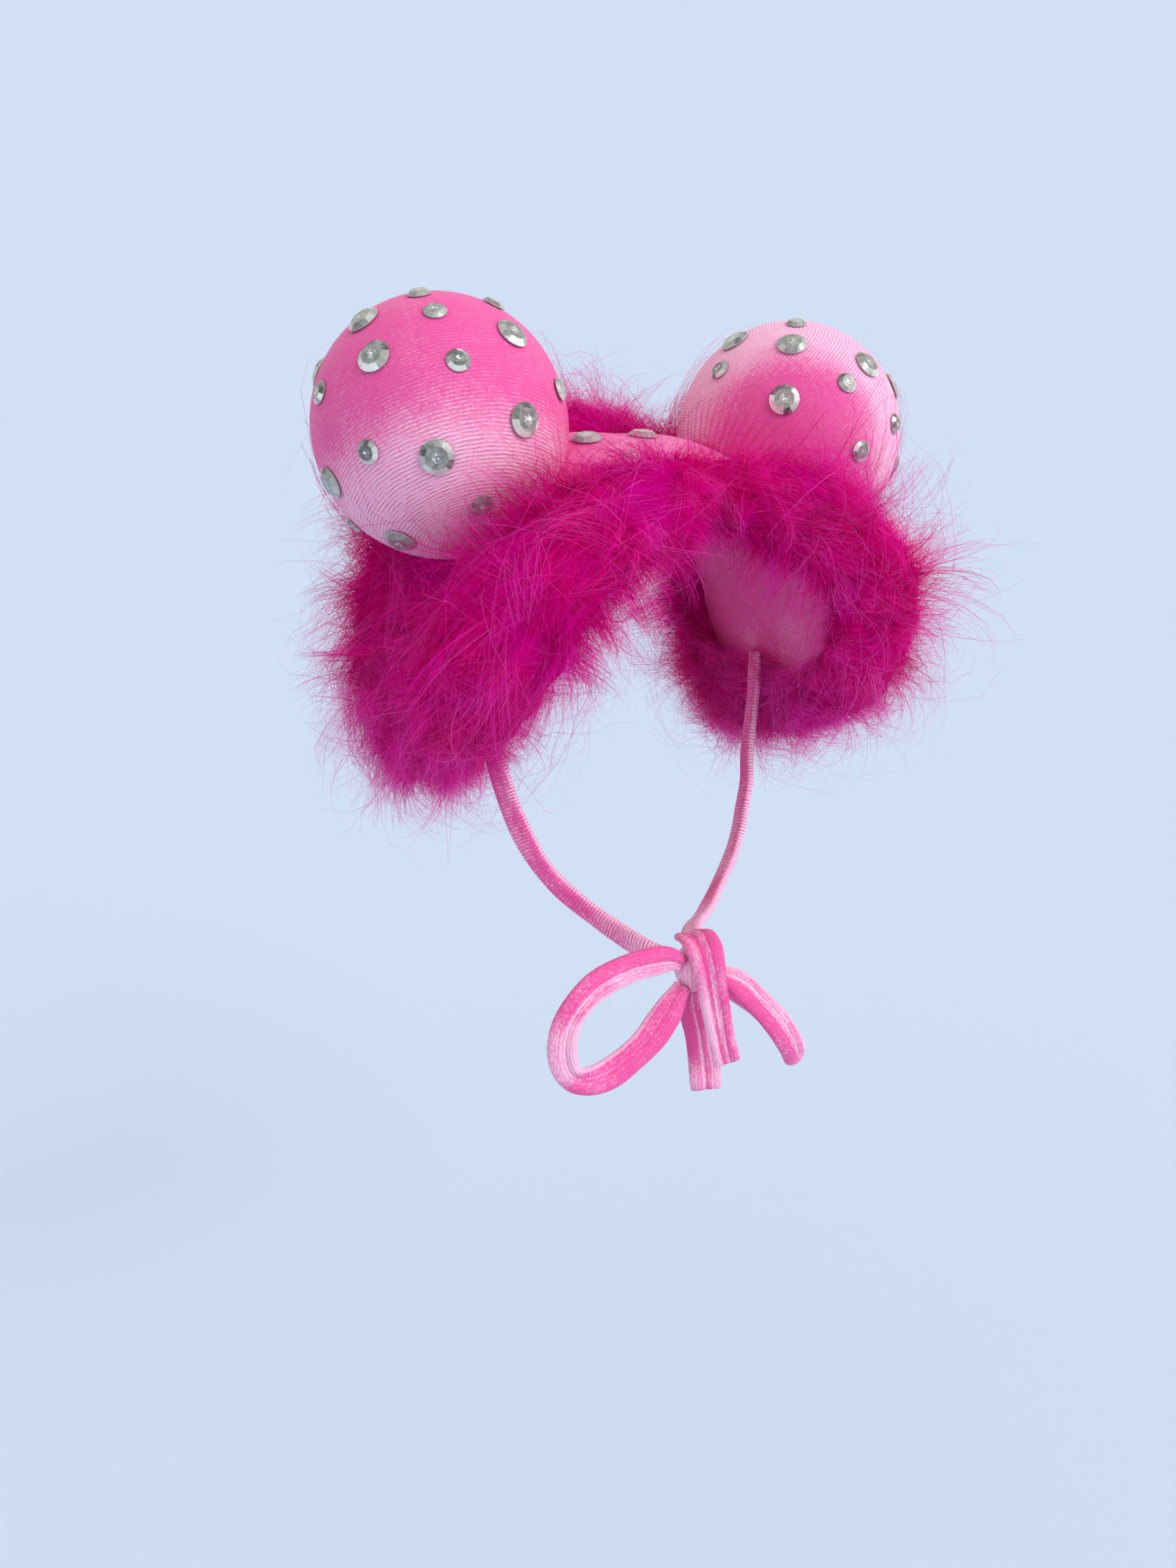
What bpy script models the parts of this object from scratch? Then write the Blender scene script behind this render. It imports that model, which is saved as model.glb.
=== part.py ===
"""Velvet bonnet with two ball ears, glued rhinestones, a marabou trim and chin ties tied in a bow.

Blender 4.5, metres, +Z up. The wearer faces -Y, so +X is the wearer's left.
The origin is the inside top of the crown, where the bonnet sits on the head.
"""
import math

import bmesh
import bpy
import numpy as np
from mathutils import Matrix, Vector

for old in list(bpy.data.objects):
    bpy.data.objects.remove(old, do_unlink=True)

MM = 0.001
GAP = 0.3 * MM  # left between pieces that touch

CROWN_WALL = 3.0 * MM
ROOM_DEPTH = 36.0 * MM  # of the cutter that shapes what lies on the crown
CROWN_SPANS = 3  # faces between two rows of the crown's table
CROWN_ACROSS = 8  # faces from the front edge to the back edge

BALL_RADIUS = 60.0 * MM
BALL_X = 101.0 * MM
BALL_Z = 3.5 * MM
SEAT_TILT = math.radians(42.0)  # how far the ball's seat faces down from level
GATHERS = 18
GATHER_DEPTH = 1.0 * MM
GATHER_REACH = math.radians(74.0)  # from the middle of the seat

TRIM_STATIONS = 92
TRIM_SIDES = 14
LOCK_TIP = 1.04  # of the trim's radius, at the tip of each lock
LOCK_VALLEY = 0.78  # of the trim's radius, between the locks
TRIM_CENTRE = Vector((0.0, 0.0, -70.0 * MM))
TRIM_STEP = 1.0 * MM  # in feeling for what a lock meets
BEND_SHARE = 0.40  # of a bend's radius that the locks on its inside may fill
BALL_CLEARANCE = 8.0 * MM  # the trim stays off the balls by more than a stone's height
HOLLOW_CENTRE = Vector((0.0, 12.0, -140.0)) * MM
HOLLOW_HALF = Vector((92.0, 90.0, 131.0)) * MM

STONE_SIDES = 10
WELL_DEPTH = 60.0 * MM  # of the room that the trim leaves over a stone on the crown
STONE_TABLE = 0.56  # table's width over the stone's
STONE_SIZES = {"large": (15.0 * MM, 2.4 * MM), "small": (10.5 * MM, 1.9 * MM)}  # width, height
GIRDLE_SHARE = 0.25

TIE_RADIUS = 4.2 * MM
TIE_STEP = 12.0 * MM

# The crown over the wearer's left side, from the middle down to the flap, in mm.
CROWN_ROWS = [
    # front edge          middle               back edge
    {"front": (0, -62, -24), "middle": (0, 0, 3.1), "back": (0, 66, 0)},
    {"front": (30, -64, -28), "middle": (30, 0, 2.5), "back": (30, 66, -3)},
    {"front": (56, -68, -40), "middle": (52, 0, -6), "back": (54, 68, -14)},
    {"front": (78, -68, -60), "middle": (70, 0, -24), "back": (74, 66, -36)},
    {"front": (88, -64, -84), "middle": (82, 0, -52), "back": (86, 62, -66)},
    {"front": (93, -50, -106), "middle": (89, 2, -84), "back": (91, 56, -96)},
    {"front": (94, -26, -122), "middle": (92.5, 6, -112), "back": (94, 42, -120)},
    {"front": (94, -4, -129), "middle": (94, 10, -128), "back": (94, 24, -129)},
]

# The middle line of the trim over the same side and how far its locks reach, in mm.
TRIM_ROWS = [
    {"at": (0, -68, -28), "reach": 27},
    {"at": (40, -76, -36), "reach": 38},
    {"at": (78, -76, -58), "reach": 46},
    {"at": (98, -68, -84), "reach": 53},
    {"at": (105, -54, -108), "reach": 50},
    {"at": (108, -24, -128), "reach": 46},
    {"at": (107, 14, -138), "reach": 44},
    {"at": (104, 44, -136), "reach": 47},
    {"at": (100, 59, -112), "reach": 51},
    {"at": (97, 61, -80), "reach": 52},
    {"at": (82, 70, -38), "reach": 47},
    {"at": (44, 76, -8), "reach": 41},
    {"at": (0, 74, 2), "reach": 39},
]

# Stones on the balls: degrees round from the front towards the wearer's left, degrees up, and size.
RIGHT_BALL_STONES = [
    {"round": -22, "up": 48, "size": "small"},
    {"round": 38, "up": 60, "size": "small"},
    {"round": -38, "up": 66, "size": "small"},
    {"round": -70, "up": 46, "size": "large"},
    {"round": -51, "up": 25, "size": "large"},
    {"round": -13, "up": 22, "size": "small"},
    {"round": 21, "up": 37, "size": "large"},
    {"round": 46, "up": 14, "size": "small"},
    {"round": -84, "up": 13, "size": "small"},
    {"round": 15, "up": -1, "size": "large"},
    {"round": -54, "up": -13, "size": "small"},
    {"round": -24, "up": -16, "size": "large"},
    {"round": -87, "up": -24, "size": "large"},
    {"round": -2, "up": -37, "size": "small"},
    {"round": -61, "up": -57, "size": "large"},
    {"round": -110, "up": -45, "size": "small"},
    {"round": 104, "up": 44, "size": "large"},
    {"round": 168, "up": 56, "size": "small"},
    {"round": -118, "up": 26, "size": "large"},
    {"round": 146, "up": 16, "size": "small"},
    {"round": -156, "up": 12, "size": "large"},
    {"round": -132, "up": -18, "size": "small"},
]
LEFT_BALL_STONES = [
    {"round": -28, "up": 65, "size": "small"},
    {"round": -35, "up": 44, "size": "large"},
    {"round": -85, "up": 52, "size": "large"},
    {"round": -80, "up": 32, "size": "small"},
    {"round": 14, "up": 32, "size": "large"},
    {"round": -6, "up": 21, "size": "small"},
    {"round": -39, "up": 13, "size": "large"},
    {"round": 29, "up": 3, "size": "small"},
    {"round": 1, "up": -11, "size": "small"},
    {"round": 54, "up": 24, "size": "large"},
    {"round": 76, "up": 50, "size": "small"},
    {"round": 62, "up": -16, "size": "large"},
    {"round": 92, "up": 12, "size": "small"},
    {"round": 108, "up": -28, "size": "large"},
    {"round": 124, "up": 34, "size": "large"},
    {"round": 158, "up": 4, "size": "small"},
    {"round": -162, "up": 34, "size": "large"},
    {"round": 30, "up": -36, "size": "large"},
]
# Stones on the crown: mm across and mm back, and whether the trim's locks stand over the stone.
CROWN_STONES = [
    {"across": -31, "back": -14, "size": "large", "under_locks": False},
    {"across": 5, "back": -7, "size": "large", "under_locks": False},
    {"across": -22, "back": -42, "size": "small", "under_locks": True},
    {"across": 22, "back": 20, "size": "small", "under_locks": False},
]

# Routes of the ties and the bow, in mm. An end marked None stops at the knot.
TIE_ROUTE = [
    (-85.2, 8, -113), (-83.5, 6, -134), (-79, 3, -154), (-76, 1, -170), (-73, -3, -184), (-68, -6, -198),
    (-62, -10, -211), (-53, -15, -224), (-43, -24, -235), (-34, -38, -244), (-27, -56, -250), None,
]
TIE_LEFT_END = [(34, -28, -237), (17, -42, -243), (2, -54, -245), None]
KNOT_AT = (-11, -76, -256)
KNOT_HALF = (10.5, 9.0, 12.5)
LOOP_RIGHT_ROUTE = [
    None, (-30, -81, -247), (-52, -84, -246), (-74, -87, -251), (-88, -88, -264), (-91, -88, -281), (-83, -86, -294),
    (-65, -83, -297), (-45, -83, -287), (-33, -82, -276.5), (-26, -80, -270), None,
]
LOOP_LEFT_ROUTE = [
    None, (8, -85, -265), (17, -90, -275), (27, -94, -288), (35, -94, -301), (42, -88, -310), (47, -79, -310),
    (45, -72, -301), (33, -67, -287), (13, -66, -272), None,
]
TAIL_FRONT_ROUTE = [None, (-6, -88, -276), (-4.5, -90.5, -290), (-2, -91.5, -303)]
TAIL_BACK_ROUTE = [None, (-9, -71, -276), (-5, -71, -293), (-3, -72, -309), (-3, -74, -324)]

parts = bpy.data.collections.new("ball_eared_bonnet")
cutters = bpy.data.collections.new("cutters")
for collection in (parts, cutters):
    bpy.context.scene.collection.children.link(collection)


def material(name, colour, roughness, metallic=0.0):
    made = bpy.data.materials.new(name)
    made.use_nodes = True
    shader = made.node_tree.nodes["Principled BSDF"]
    shader.inputs["Base Color"].default_value = (*colour, 1.0)
    shader.inputs["Roughness"].default_value = roughness
    shader.inputs["Metallic"].default_value = metallic
    made.diffuse_color = (*colour, 1.0)
    return made


VELVET = material("pink_velvet", (0.80, 0.10, 0.38), 0.6)
MARABOU = material("magenta_marabou", (0.45, 0.0, 0.18), 0.9)
CRYSTAL = material("clear_rhinestone", (0.75, 0.77, 0.78), 0.1)


def add_object(name, mesh, look, collection=parts, smooth=True):
    made = bpy.data.objects.new(name, mesh)
    collection.objects.link(made)
    if look is not None:
        mesh.materials.append(look)
    for polygon in mesh.polygons:
        polygon.use_smooth = smooth
    return made


def make_cutter(made):
    made.hide_render = True
    made.display_type = "WIRE"
    return made


def cut(target, cutter):
    boolean = target.modifiers.new(f"cut_{cutter.name}", "BOOLEAN")
    boolean.operation = "DIFFERENCE"
    boolean.solver = "EXACT"
    boolean.object = cutter


def smooth_through(rows, per_span, closed=False):
    """Catmull-Rom curve through rows of numbers, with per_span steps from each row to the next."""
    rows = np.asarray(rows, float)
    count = len(rows)
    spans = count if closed else count - 1
    out = []
    for i in range(spans):
        if closed:
            before, start, end, after = (rows[(i + k) % count] for k in (-1, 0, 1, 2))
        else:
            start, end = rows[i], rows[i + 1]
            before = rows[i - 1] if i > 0 else 2 * start - end
            after = rows[i + 2] if i + 2 < count else 2 * end - start
        for step in range(per_span):
            t = step / per_span
            out.append(
                0.5 * (
                    2 * start
                    + (end - before) * t
                    + (2 * before - 5 * start + 4 * end - after) * t ** 2
                    + (3 * start - before - 3 * end + after) * t ** 3
                )
            )
    if not closed:
        out.append(rows[-1])
    return np.array(out)


def even_steps(points, step, closed=False):
    """Points at even distances along a line of points."""
    if closed:
        points = np.vstack([points, points[:1]])
    lengths = np.concatenate([[0.0], np.cumsum(np.linalg.norm(np.diff(points, axis=0)[:, :3], axis=1))])
    count = max(2, round(lengths[-1] / step))
    at = np.linspace(0.0, lengths[-1], count, endpoint=False) if closed else np.linspace(0.0, lengths[-1], count + 1)
    return np.column_stack([np.interp(at, lengths, column) for column in points.T])


def mirrored(point):
    return (-point[0], *point[1:])


# Crown: a saddle lofted through the table's rows, with its wall added inwards.
half = [np.array([row["front"], row["middle"], row["back"]], float).ravel() for row in CROWN_ROWS]
flip = np.array([-1, 1, 1] * 3, float)
arch = smooth_through([row * flip for row in half[:0:-1]] + half, CROWN_SPANS)


def crown_point(section, share):
    """A point on the parabola through a section's front edge, middle and back edge."""
    front, middle, back = section[0:3], section[3:6], section[6:9]
    return (
        front * (1 - share) * (1 - 2 * share)
        + middle * 4 * share * (1 - share)
        + back * share * (2 * share - 1)
    ) * MM


def widened(sections, margin):
    """The sections with both ends of the row carried on by the margin."""
    first, second, last, before = sections[0], sections[1], sections[-1], sections[-2]
    lead = (first - second) / np.linalg.norm((first - second)[3:6])
    tail = (last - before) / np.linalg.norm((last - before)[3:6])
    return np.vstack([first + lead * margin, sections[1:-1], last + tail * margin])


def crown_mesh(name, margin=0.0):
    """The crown's outer surface, carried past its edges by the margin in mm."""
    shape = bmesh.new()
    grid = []
    for section in widened(arch, margin):
        beyond = margin / np.linalg.norm(section[6:9] - section[0:3])
        shares = np.linspace(-beyond, 1 + beyond, CROWN_ACROSS + 1)
        grid.append([shape.verts.new(crown_point(section, share)) for share in shares])
    for row, following in zip(grid, grid[1:]):
        for j in range(CROWN_ACROSS):
            shape.faces.new((row[j], following[j], following[j + 1], row[j + 1]))
    mesh = bpy.data.meshes.new(name)
    shape.to_mesh(mesh)
    shape.free()
    return mesh


def add_wall(made, outside, thickness):
    """Solidify from outside the surface to thickness - outside under it."""
    wall = made.modifiers.new("wall", "SOLIDIFY")
    wall.thickness = thickness
    wall.offset = 2 * outside / thickness - 1
    wall.use_even_offset = True


crown = add_object("crown", crown_mesh("crown"), VELVET)
add_wall(crown, 0.0, CROWN_WALL)

crown_room = make_cutter(add_object("crown_room", crown_mesh("crown_room", margin=2 * GAP / MM), None, cutters))
add_wall(crown_room, GAP, ROOM_DEPTH)


# Ball ears: spheres whose pole lies in the seat, gathered towards it and cut to the crown.
def add_ball(name, side):
    centre = Vector((side * BALL_X, 0.0, BALL_Z))
    to_seat = Vector((-side * math.cos(SEAT_TILT), 0.0, -math.sin(SEAT_TILT)))
    bpy.ops.mesh.primitive_uv_sphere_add(segments=2 * GATHERS, ring_count=18, radius=BALL_RADIUS)
    ball = bpy.context.object
    ball.name = name
    ball.data.name = name
    for holder in list(ball.users_collection):
        holder.objects.unlink(ball)
    parts.objects.link(ball)
    for vertex in ball.data.vertices:
        place = vertex.co
        from_seat = place.angle(Vector((0.0, 0.0, 1.0)), 0.0)
        if from_seat < GATHER_REACH:
            turn = math.atan2(place.y, place.x)
            fade = math.cos(from_seat / GATHER_REACH * math.pi / 2) ** 1.5
            place *= 1 - GATHER_DEPTH / BALL_RADIUS * fade * (0.5 + 0.5 * math.cos(GATHERS * turn))
    ball.data.materials.append(VELVET)
    for polygon in ball.data.polygons:
        polygon.use_smooth = True
    ball.location = centre
    ball.rotation_euler = to_seat.to_track_quat("Z", "Y").to_euler()
    cut(ball, crown_room)
    return ball


add_ball("ear_ball_right", -1)
add_ball("ear_ball_left", 1)


# Marabou trim: one ring of locks round the crown's whole edge, which the balls and the head's hollow press short.
def blocked(point):
    """Whether a point lies in a ball's room or in the head's hollow."""
    for side in (-1, 1):
        if (point - Vector((side * BALL_X, 0.0, BALL_Z))).length < BALL_RADIUS + BALL_CLEARANCE:
            return True
    inside = point - HOLLOW_CENTRE
    inside.z = max(inside.z, 0.0)
    return sum((inside[k] / HOLLOW_HALF[k]) ** 2 for k in range(3)) < 1.0


def free_reach(start, towards, reach):
    """How far a lock grows from start before it meets something."""
    grown = 0.0
    while grown < reach and not blocked(start + towards * grown):
        grown += TRIM_STEP
    return min(grown, reach)


trim_half = [np.array([*row["at"], row["reach"]], float) for row in TRIM_ROWS]
trim_rows = trim_half + [row * np.array([-1, 1, 1, 1]) for row in trim_half[-2:0:-1]]
trim_line = smooth_through(trim_rows, 12, closed=True)
trim_length = np.linalg.norm(np.diff(np.vstack([trim_line, trim_line[:1]]), axis=0)[:, :3], axis=1).sum()
trim_line = even_steps(trim_line, trim_length / TRIM_STATIONS, closed=True) * MM

places = [Vector(row[:3]) for row in trim_line]
aways = [(places[(i + 1) % TRIM_STATIONS] - places[i - 1]).normalized() for i in range(TRIM_STATIONS)]
turning = [
    (aways[(i + 3) % TRIM_STATIONS] - aways[i - 3]) / (6 * trim_length * MM / TRIM_STATIONS)
    for i in range(TRIM_STATIONS)
]
shape = bmesh.new()
rings = []
for i, (here, along, bend) in enumerate(zip(places, aways, turning)):
    reach = float(trim_line[i][3])
    outward = here - TRIM_CENTRE
    outward = (outward - along * outward.dot(along)).normalized()
    across = along.cross(outward)
    ring = []
    for j in range(TRIM_SIDES):
        turn = 2 * math.pi * j / TRIM_SIDES
        towards = math.cos(turn) * outward + math.sin(turn) * across
        lock = LOCK_TIP if (i + j) % 2 else LOCK_VALLEY
        wave = 0.04 * math.sin(2 * math.pi * i * 11 / TRIM_STATIONS + 2 * turn)
        longest = BEND_SHARE / max(bend.dot(towards), 1e-6)
        grown = free_reach(here, towards, min(reach, longest) * (lock + wave))
        ring.append(shape.verts.new(here + towards * grown))
    rings.append(ring)
for i, ring in enumerate(rings):
    following = rings[(i + 1) % TRIM_STATIONS]
    for j in range(TRIM_SIDES):
        k = (j + 1) % TRIM_SIDES
        corners = [ring[j], ring[k], following[k], following[j]]
        if (i + j) % 2:
            corners = corners[1:] + corners[:1]
        shape.faces.new(corners[:3])
        shape.faces.new((corners[2], corners[3], corners[0]))
bmesh.ops.recalc_face_normals(shape, faces=shape.faces)
trim_mesh = bpy.data.meshes.new("marabou_trim")
shape.to_mesh(trim_mesh)
shape.free()
trim = add_object("marabou_trim", trim_mesh, MARABOU)


# Rhinestones: a ten-sided crown with a table over a short girdle, flat on its back.
def add_stone(name, place, facing, size):
    width, height = STONE_SIZES[size]
    girdle = height * GIRDLE_SHARE
    shape = bmesh.new()
    bmesh.ops.create_cone(
        shape, cap_ends=True, segments=STONE_SIDES,
        radius1=width / 2, radius2=width / 2 * STONE_TABLE, depth=height - girdle,
        matrix=Matrix.Translation((0.0, 0.0, (height + girdle) / 2)),
    )
    back = min(shape.faces, key=lambda face: face.calc_center_median().z)
    lowered = bmesh.ops.extrude_face_region(shape, geom=[back])
    bmesh.ops.translate(
        shape, vec=(0.0, 0.0, -girdle),
        verts=[item for item in lowered["geom"] if isinstance(item, bmesh.types.BMVert)],
    )
    if back.is_valid:
        bmesh.ops.delete(shape, geom=[back], context="FACES_ONLY")
    bmesh.ops.recalc_face_normals(shape, faces=shape.faces)
    mesh = bpy.data.meshes.new(name)
    shape.to_mesh(mesh)
    shape.free()
    stone = add_object(name, mesh, CRYSTAL, smooth=False)
    stone.location = place + facing * GAP
    stone.rotation_euler = facing.to_track_quat("Z", "Y").to_euler()
    return stone


def direction(turn, up):
    turn, up = math.radians(turn), math.radians(up)
    return Vector((math.sin(turn) * math.cos(up), -math.cos(turn) * math.cos(up), math.sin(up)))


for word, side, table in (("right", -1, RIGHT_BALL_STONES), ("left", 1, LEFT_BALL_STONES)):
    for number, row in enumerate(table, 1):
        facing = direction(row["round"], row["up"])
        centre = Vector((side * BALL_X, 0.0, BALL_Z))
        add_stone(f"stone_{word}_{number:02d}", centre + facing * BALL_RADIUS, facing, row["size"])

room_points = [(vertex.co.copy(), vertex.normal.copy()) for vertex in crown_room.data.vertices]
for number, row in enumerate(CROWN_STONES, 1):
    target = Vector((row["across"], row["back"])) * MM
    top = [item for item in room_points if item[0].z > -60 * MM]
    near = sorted(top, key=lambda item: (item[0].xy - target).length)[:4]
    weights = [1 / ((co.xy - target).length + 1e-6) for co, _ in near]
    facing = sum((normal * w for (_, normal), w in zip(near, weights)), Vector()).normalized()
    level = sum(
        w * (co.z - ((target.x - co.x) * normal.x + (target.y - co.y) * normal.y) / normal.z)
        for (co, normal), w in zip(near, weights)
    ) / sum(weights)
    place = Vector((target.x, target.y, level))
    add_stone(f"stone_crown_{number}", place, facing, row["size"])
    if not row["under_locks"]:
        continue
    width = STONE_SIZES[row["size"]][0]
    bpy.ops.mesh.primitive_cylinder_add(vertices=12, radius=width / 2 + 3 * GAP, depth=WELL_DEPTH)
    well = bpy.context.object
    well.name = f"well_{number}"
    for holder in list(well.users_collection):
        holder.objects.unlink(well)
    cutters.objects.link(make_cutter(well))
    well.location = place + facing * (WELL_DEPTH / 2 - 5 * MM)
    well.rotation_euler = facing.to_track_quat("Z", "Y").to_euler()
    cut(trim, well)
cut(trim, crown_room)

# Ties and bow: round tubes along the routes, and a knot that they meet.
def at_knot(near):
    """The point just off the knot's surface, on the way from near to the knot's middle."""
    away = np.subtract(near, KNOT_AT)
    away = away / np.linalg.norm(away)
    return tuple(KNOT_AT + away * (1 / np.linalg.norm(away / KNOT_HALF) + 2 * GAP / MM))


def add_tube(name, route):
    route = list(route)
    if route[0] is None:
        route[0] = at_knot(route[1])
    if route[-1] is None:
        route[-1] = at_knot(route[-2])
    line = even_steps(smooth_through(route, 10), TIE_STEP / MM) * MM
    curve = bpy.data.curves.new(name, "CURVE")
    curve.dimensions = "3D"
    curve.bevel_depth = TIE_RADIUS
    curve.bevel_resolution = 2
    curve.use_fill_caps = True
    spline = curve.splines.new("POLY")
    spline.points.add(len(line) - 1)
    for point, place in zip(spline.points, line):
        point.co = (*place, 1.0)
    spline.use_smooth = True
    curve.materials.append(VELVET)
    tube = bpy.data.objects.new(name, curve)
    parts.objects.link(tube)
    return tube


add_tube("tie_right", TIE_ROUTE)
add_tube("tie_left", [mirrored(point) for point in TIE_ROUTE[:8]] + TIE_LEFT_END)
add_tube("bow_loop_right", LOOP_RIGHT_ROUTE)
add_tube("bow_loop_left", LOOP_LEFT_ROUTE)
add_tube("bow_tail_front", TAIL_FRONT_ROUTE)
add_tube("bow_tail_back", TAIL_BACK_ROUTE)

bpy.ops.mesh.primitive_uv_sphere_add(segments=16, ring_count=10, radius=1.0)
knot = bpy.context.object
knot.name = "bow_knot"
knot.data.name = "bow_knot"
for holder in list(knot.users_collection):
    holder.objects.unlink(knot)
parts.objects.link(knot)
knot.data.materials.append(VELVET)
for polygon in knot.data.polygons:
    polygon.use_smooth = True
knot.location = Vector(KNOT_AT) * MM
knot.scale = Vector(KNOT_HALF) * MM
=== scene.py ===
import math

import bpy
import numpy as np
from mathutils import Matrix, Vector
from mathutils.bvhtree import BVHTree


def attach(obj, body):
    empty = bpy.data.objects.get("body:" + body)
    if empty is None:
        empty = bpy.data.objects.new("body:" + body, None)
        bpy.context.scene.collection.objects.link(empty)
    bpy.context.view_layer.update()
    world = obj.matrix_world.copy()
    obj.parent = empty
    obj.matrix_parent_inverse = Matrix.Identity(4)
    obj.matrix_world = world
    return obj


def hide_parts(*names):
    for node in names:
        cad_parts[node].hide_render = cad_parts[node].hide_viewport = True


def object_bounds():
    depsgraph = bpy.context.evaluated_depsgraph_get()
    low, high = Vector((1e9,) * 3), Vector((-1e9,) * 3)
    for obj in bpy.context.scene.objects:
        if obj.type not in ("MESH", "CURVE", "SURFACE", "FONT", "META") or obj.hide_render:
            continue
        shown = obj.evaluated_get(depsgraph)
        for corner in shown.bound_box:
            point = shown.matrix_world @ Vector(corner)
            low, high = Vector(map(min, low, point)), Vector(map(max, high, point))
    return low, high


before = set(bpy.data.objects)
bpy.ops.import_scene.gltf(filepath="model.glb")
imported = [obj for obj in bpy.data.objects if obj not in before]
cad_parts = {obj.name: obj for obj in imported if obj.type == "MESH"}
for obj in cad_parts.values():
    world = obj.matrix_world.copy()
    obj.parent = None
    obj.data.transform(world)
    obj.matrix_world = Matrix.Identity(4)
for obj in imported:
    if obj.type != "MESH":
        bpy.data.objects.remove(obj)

cad_low, cad_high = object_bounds()
MM = 0.001


# The camera stands in front on the bonnet's right, level with the undersides of the balls, and looks down a
# little, as in the photograph. Its lens and sensor are given in mm.
CAMERA_AT = (-0.3143, -0.5365, -0.0495)
YAW, PITCH, ROLL = math.radians(28.14), math.radians(11.66), math.radians(1.35)
SENSOR_WIDTH, FOCAL_LENGTH = 36.0, 27.0

forward = Vector((math.sin(YAW) * math.cos(PITCH), math.cos(YAW) * math.cos(PITCH), -math.sin(PITCH)))
level = Vector((math.cos(YAW), -math.sin(YAW), 0.0))
plumb = forward.cross(level)
rightward = math.cos(ROLL) * level + math.sin(ROLL) * plumb
downward = math.cos(ROLL) * plumb - math.sin(ROLL) * level
camera_data = bpy.data.cameras.new("camera")
camera_data.sensor_width, camera_data.lens = SENSOR_WIDTH, FOCAL_LENGTH
camera = bpy.data.objects.new("camera", camera_data)
bpy.context.scene.collection.objects.link(camera)
turned = Matrix((rightward, -downward, -forward)).transposed().to_4x4()
camera.matrix_world = Matrix.Translation(CAMERA_AT) @ turned
bpy.context.scene.camera = camera
bpy.context.scene.view_settings.view_transform = "Standard"


# The ties: one flattened tube of stretch velvet sewn inside each side flap, brought down and in, and tied in
# a bow of two loops and two tails, each creased along its middle. Routes are in mm, and None stands for the
# point just off the knot.
STRAP_THICK = 5.4 * MM
KNOT_AT = Vector((-11, -76, -256)) * MM
KNOT_HALF = Vector((10.5, 9.0, 12.5)) * MM
KNOT_GAP = 0.6 * MM
HOLLOW_MIDDLE = np.array(Vector((0, 12, -150)) * MM)
STRAP_STEP = 1.3 * MM
AROUND_STRAP = 28
PINCH_REACH, SEWN_REACH = 9 * MM, 10 * MM
CREASE_WIDTH = 0.17
TIP_SHARE = 0.02

TIE_RIGHT = [
    (-86.3, 8, -113), (-84.3, 6, -134), (-79.5, 3, -154), (-76, 1, -170), (-73, -3, -184), (-68, -6, -198),
    (-62, -10, -211), (-53, -15, -224), (-43, -24, -235), (-34, -38, -244), (-27, -56, -250), None,
]
TIE_LEFT = [(-x, y, z) for x, y, z in TIE_RIGHT[:8]] + [
    (34, -28, -237), (17, -42, -243), (2, -54, -245), None,
]
LOOP_RIGHT = [
    None, (-30, -81, -247), (-52, -84, -246), (-74, -87, -251), (-88, -88, -264), (-91, -88, -281),
    (-83, -86, -294), (-65, -83, -297), (-45, -83, -287), (-33, -82, -276.5), (-26, -80, -270), None,
]
LOOP_LEFT = [
    None, (8, -85, -265), (17, -90, -275), (27, -94, -288), (35, -94, -301), (42, -88, -310), (47, -79, -310),
    (45, -72, -301), (33, -67, -287), (13, -66, -272), None,
]
TAIL_FRONT = [
    (-10.5, -72, -240.7), (-11, -79, -240.0), (-11.3, -85.5, -244), (-10.8, -88.6, -252), (-9.5, -89.3, -262),
    (-7.2, -89.6, -276), (-4.8, -90.5, -290), (-2, -91.5, -303),
]
TAIL_BACK = [None, (-9, -71, -276), (-5, -71, -293), (-3, -72, -309), (-3, -74, -324)]


class Wire:
    """A shader socket that takes part in sums, so that a pattern reads as its formula."""

    def __init__(self, finish, socket):
        self.finish, self.socket = finish, socket

    def __add__(self, other):
        return self.finish.sum("ADD", self, other)

    def __sub__(self, other):
        return self.finish.sum("SUBTRACT", self, other)

    def __rsub__(self, other):
        return self.finish.sum("SUBTRACT", other, self)

    def __mul__(self, other):
        return self.finish.sum("MULTIPLY", self, other)


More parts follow.
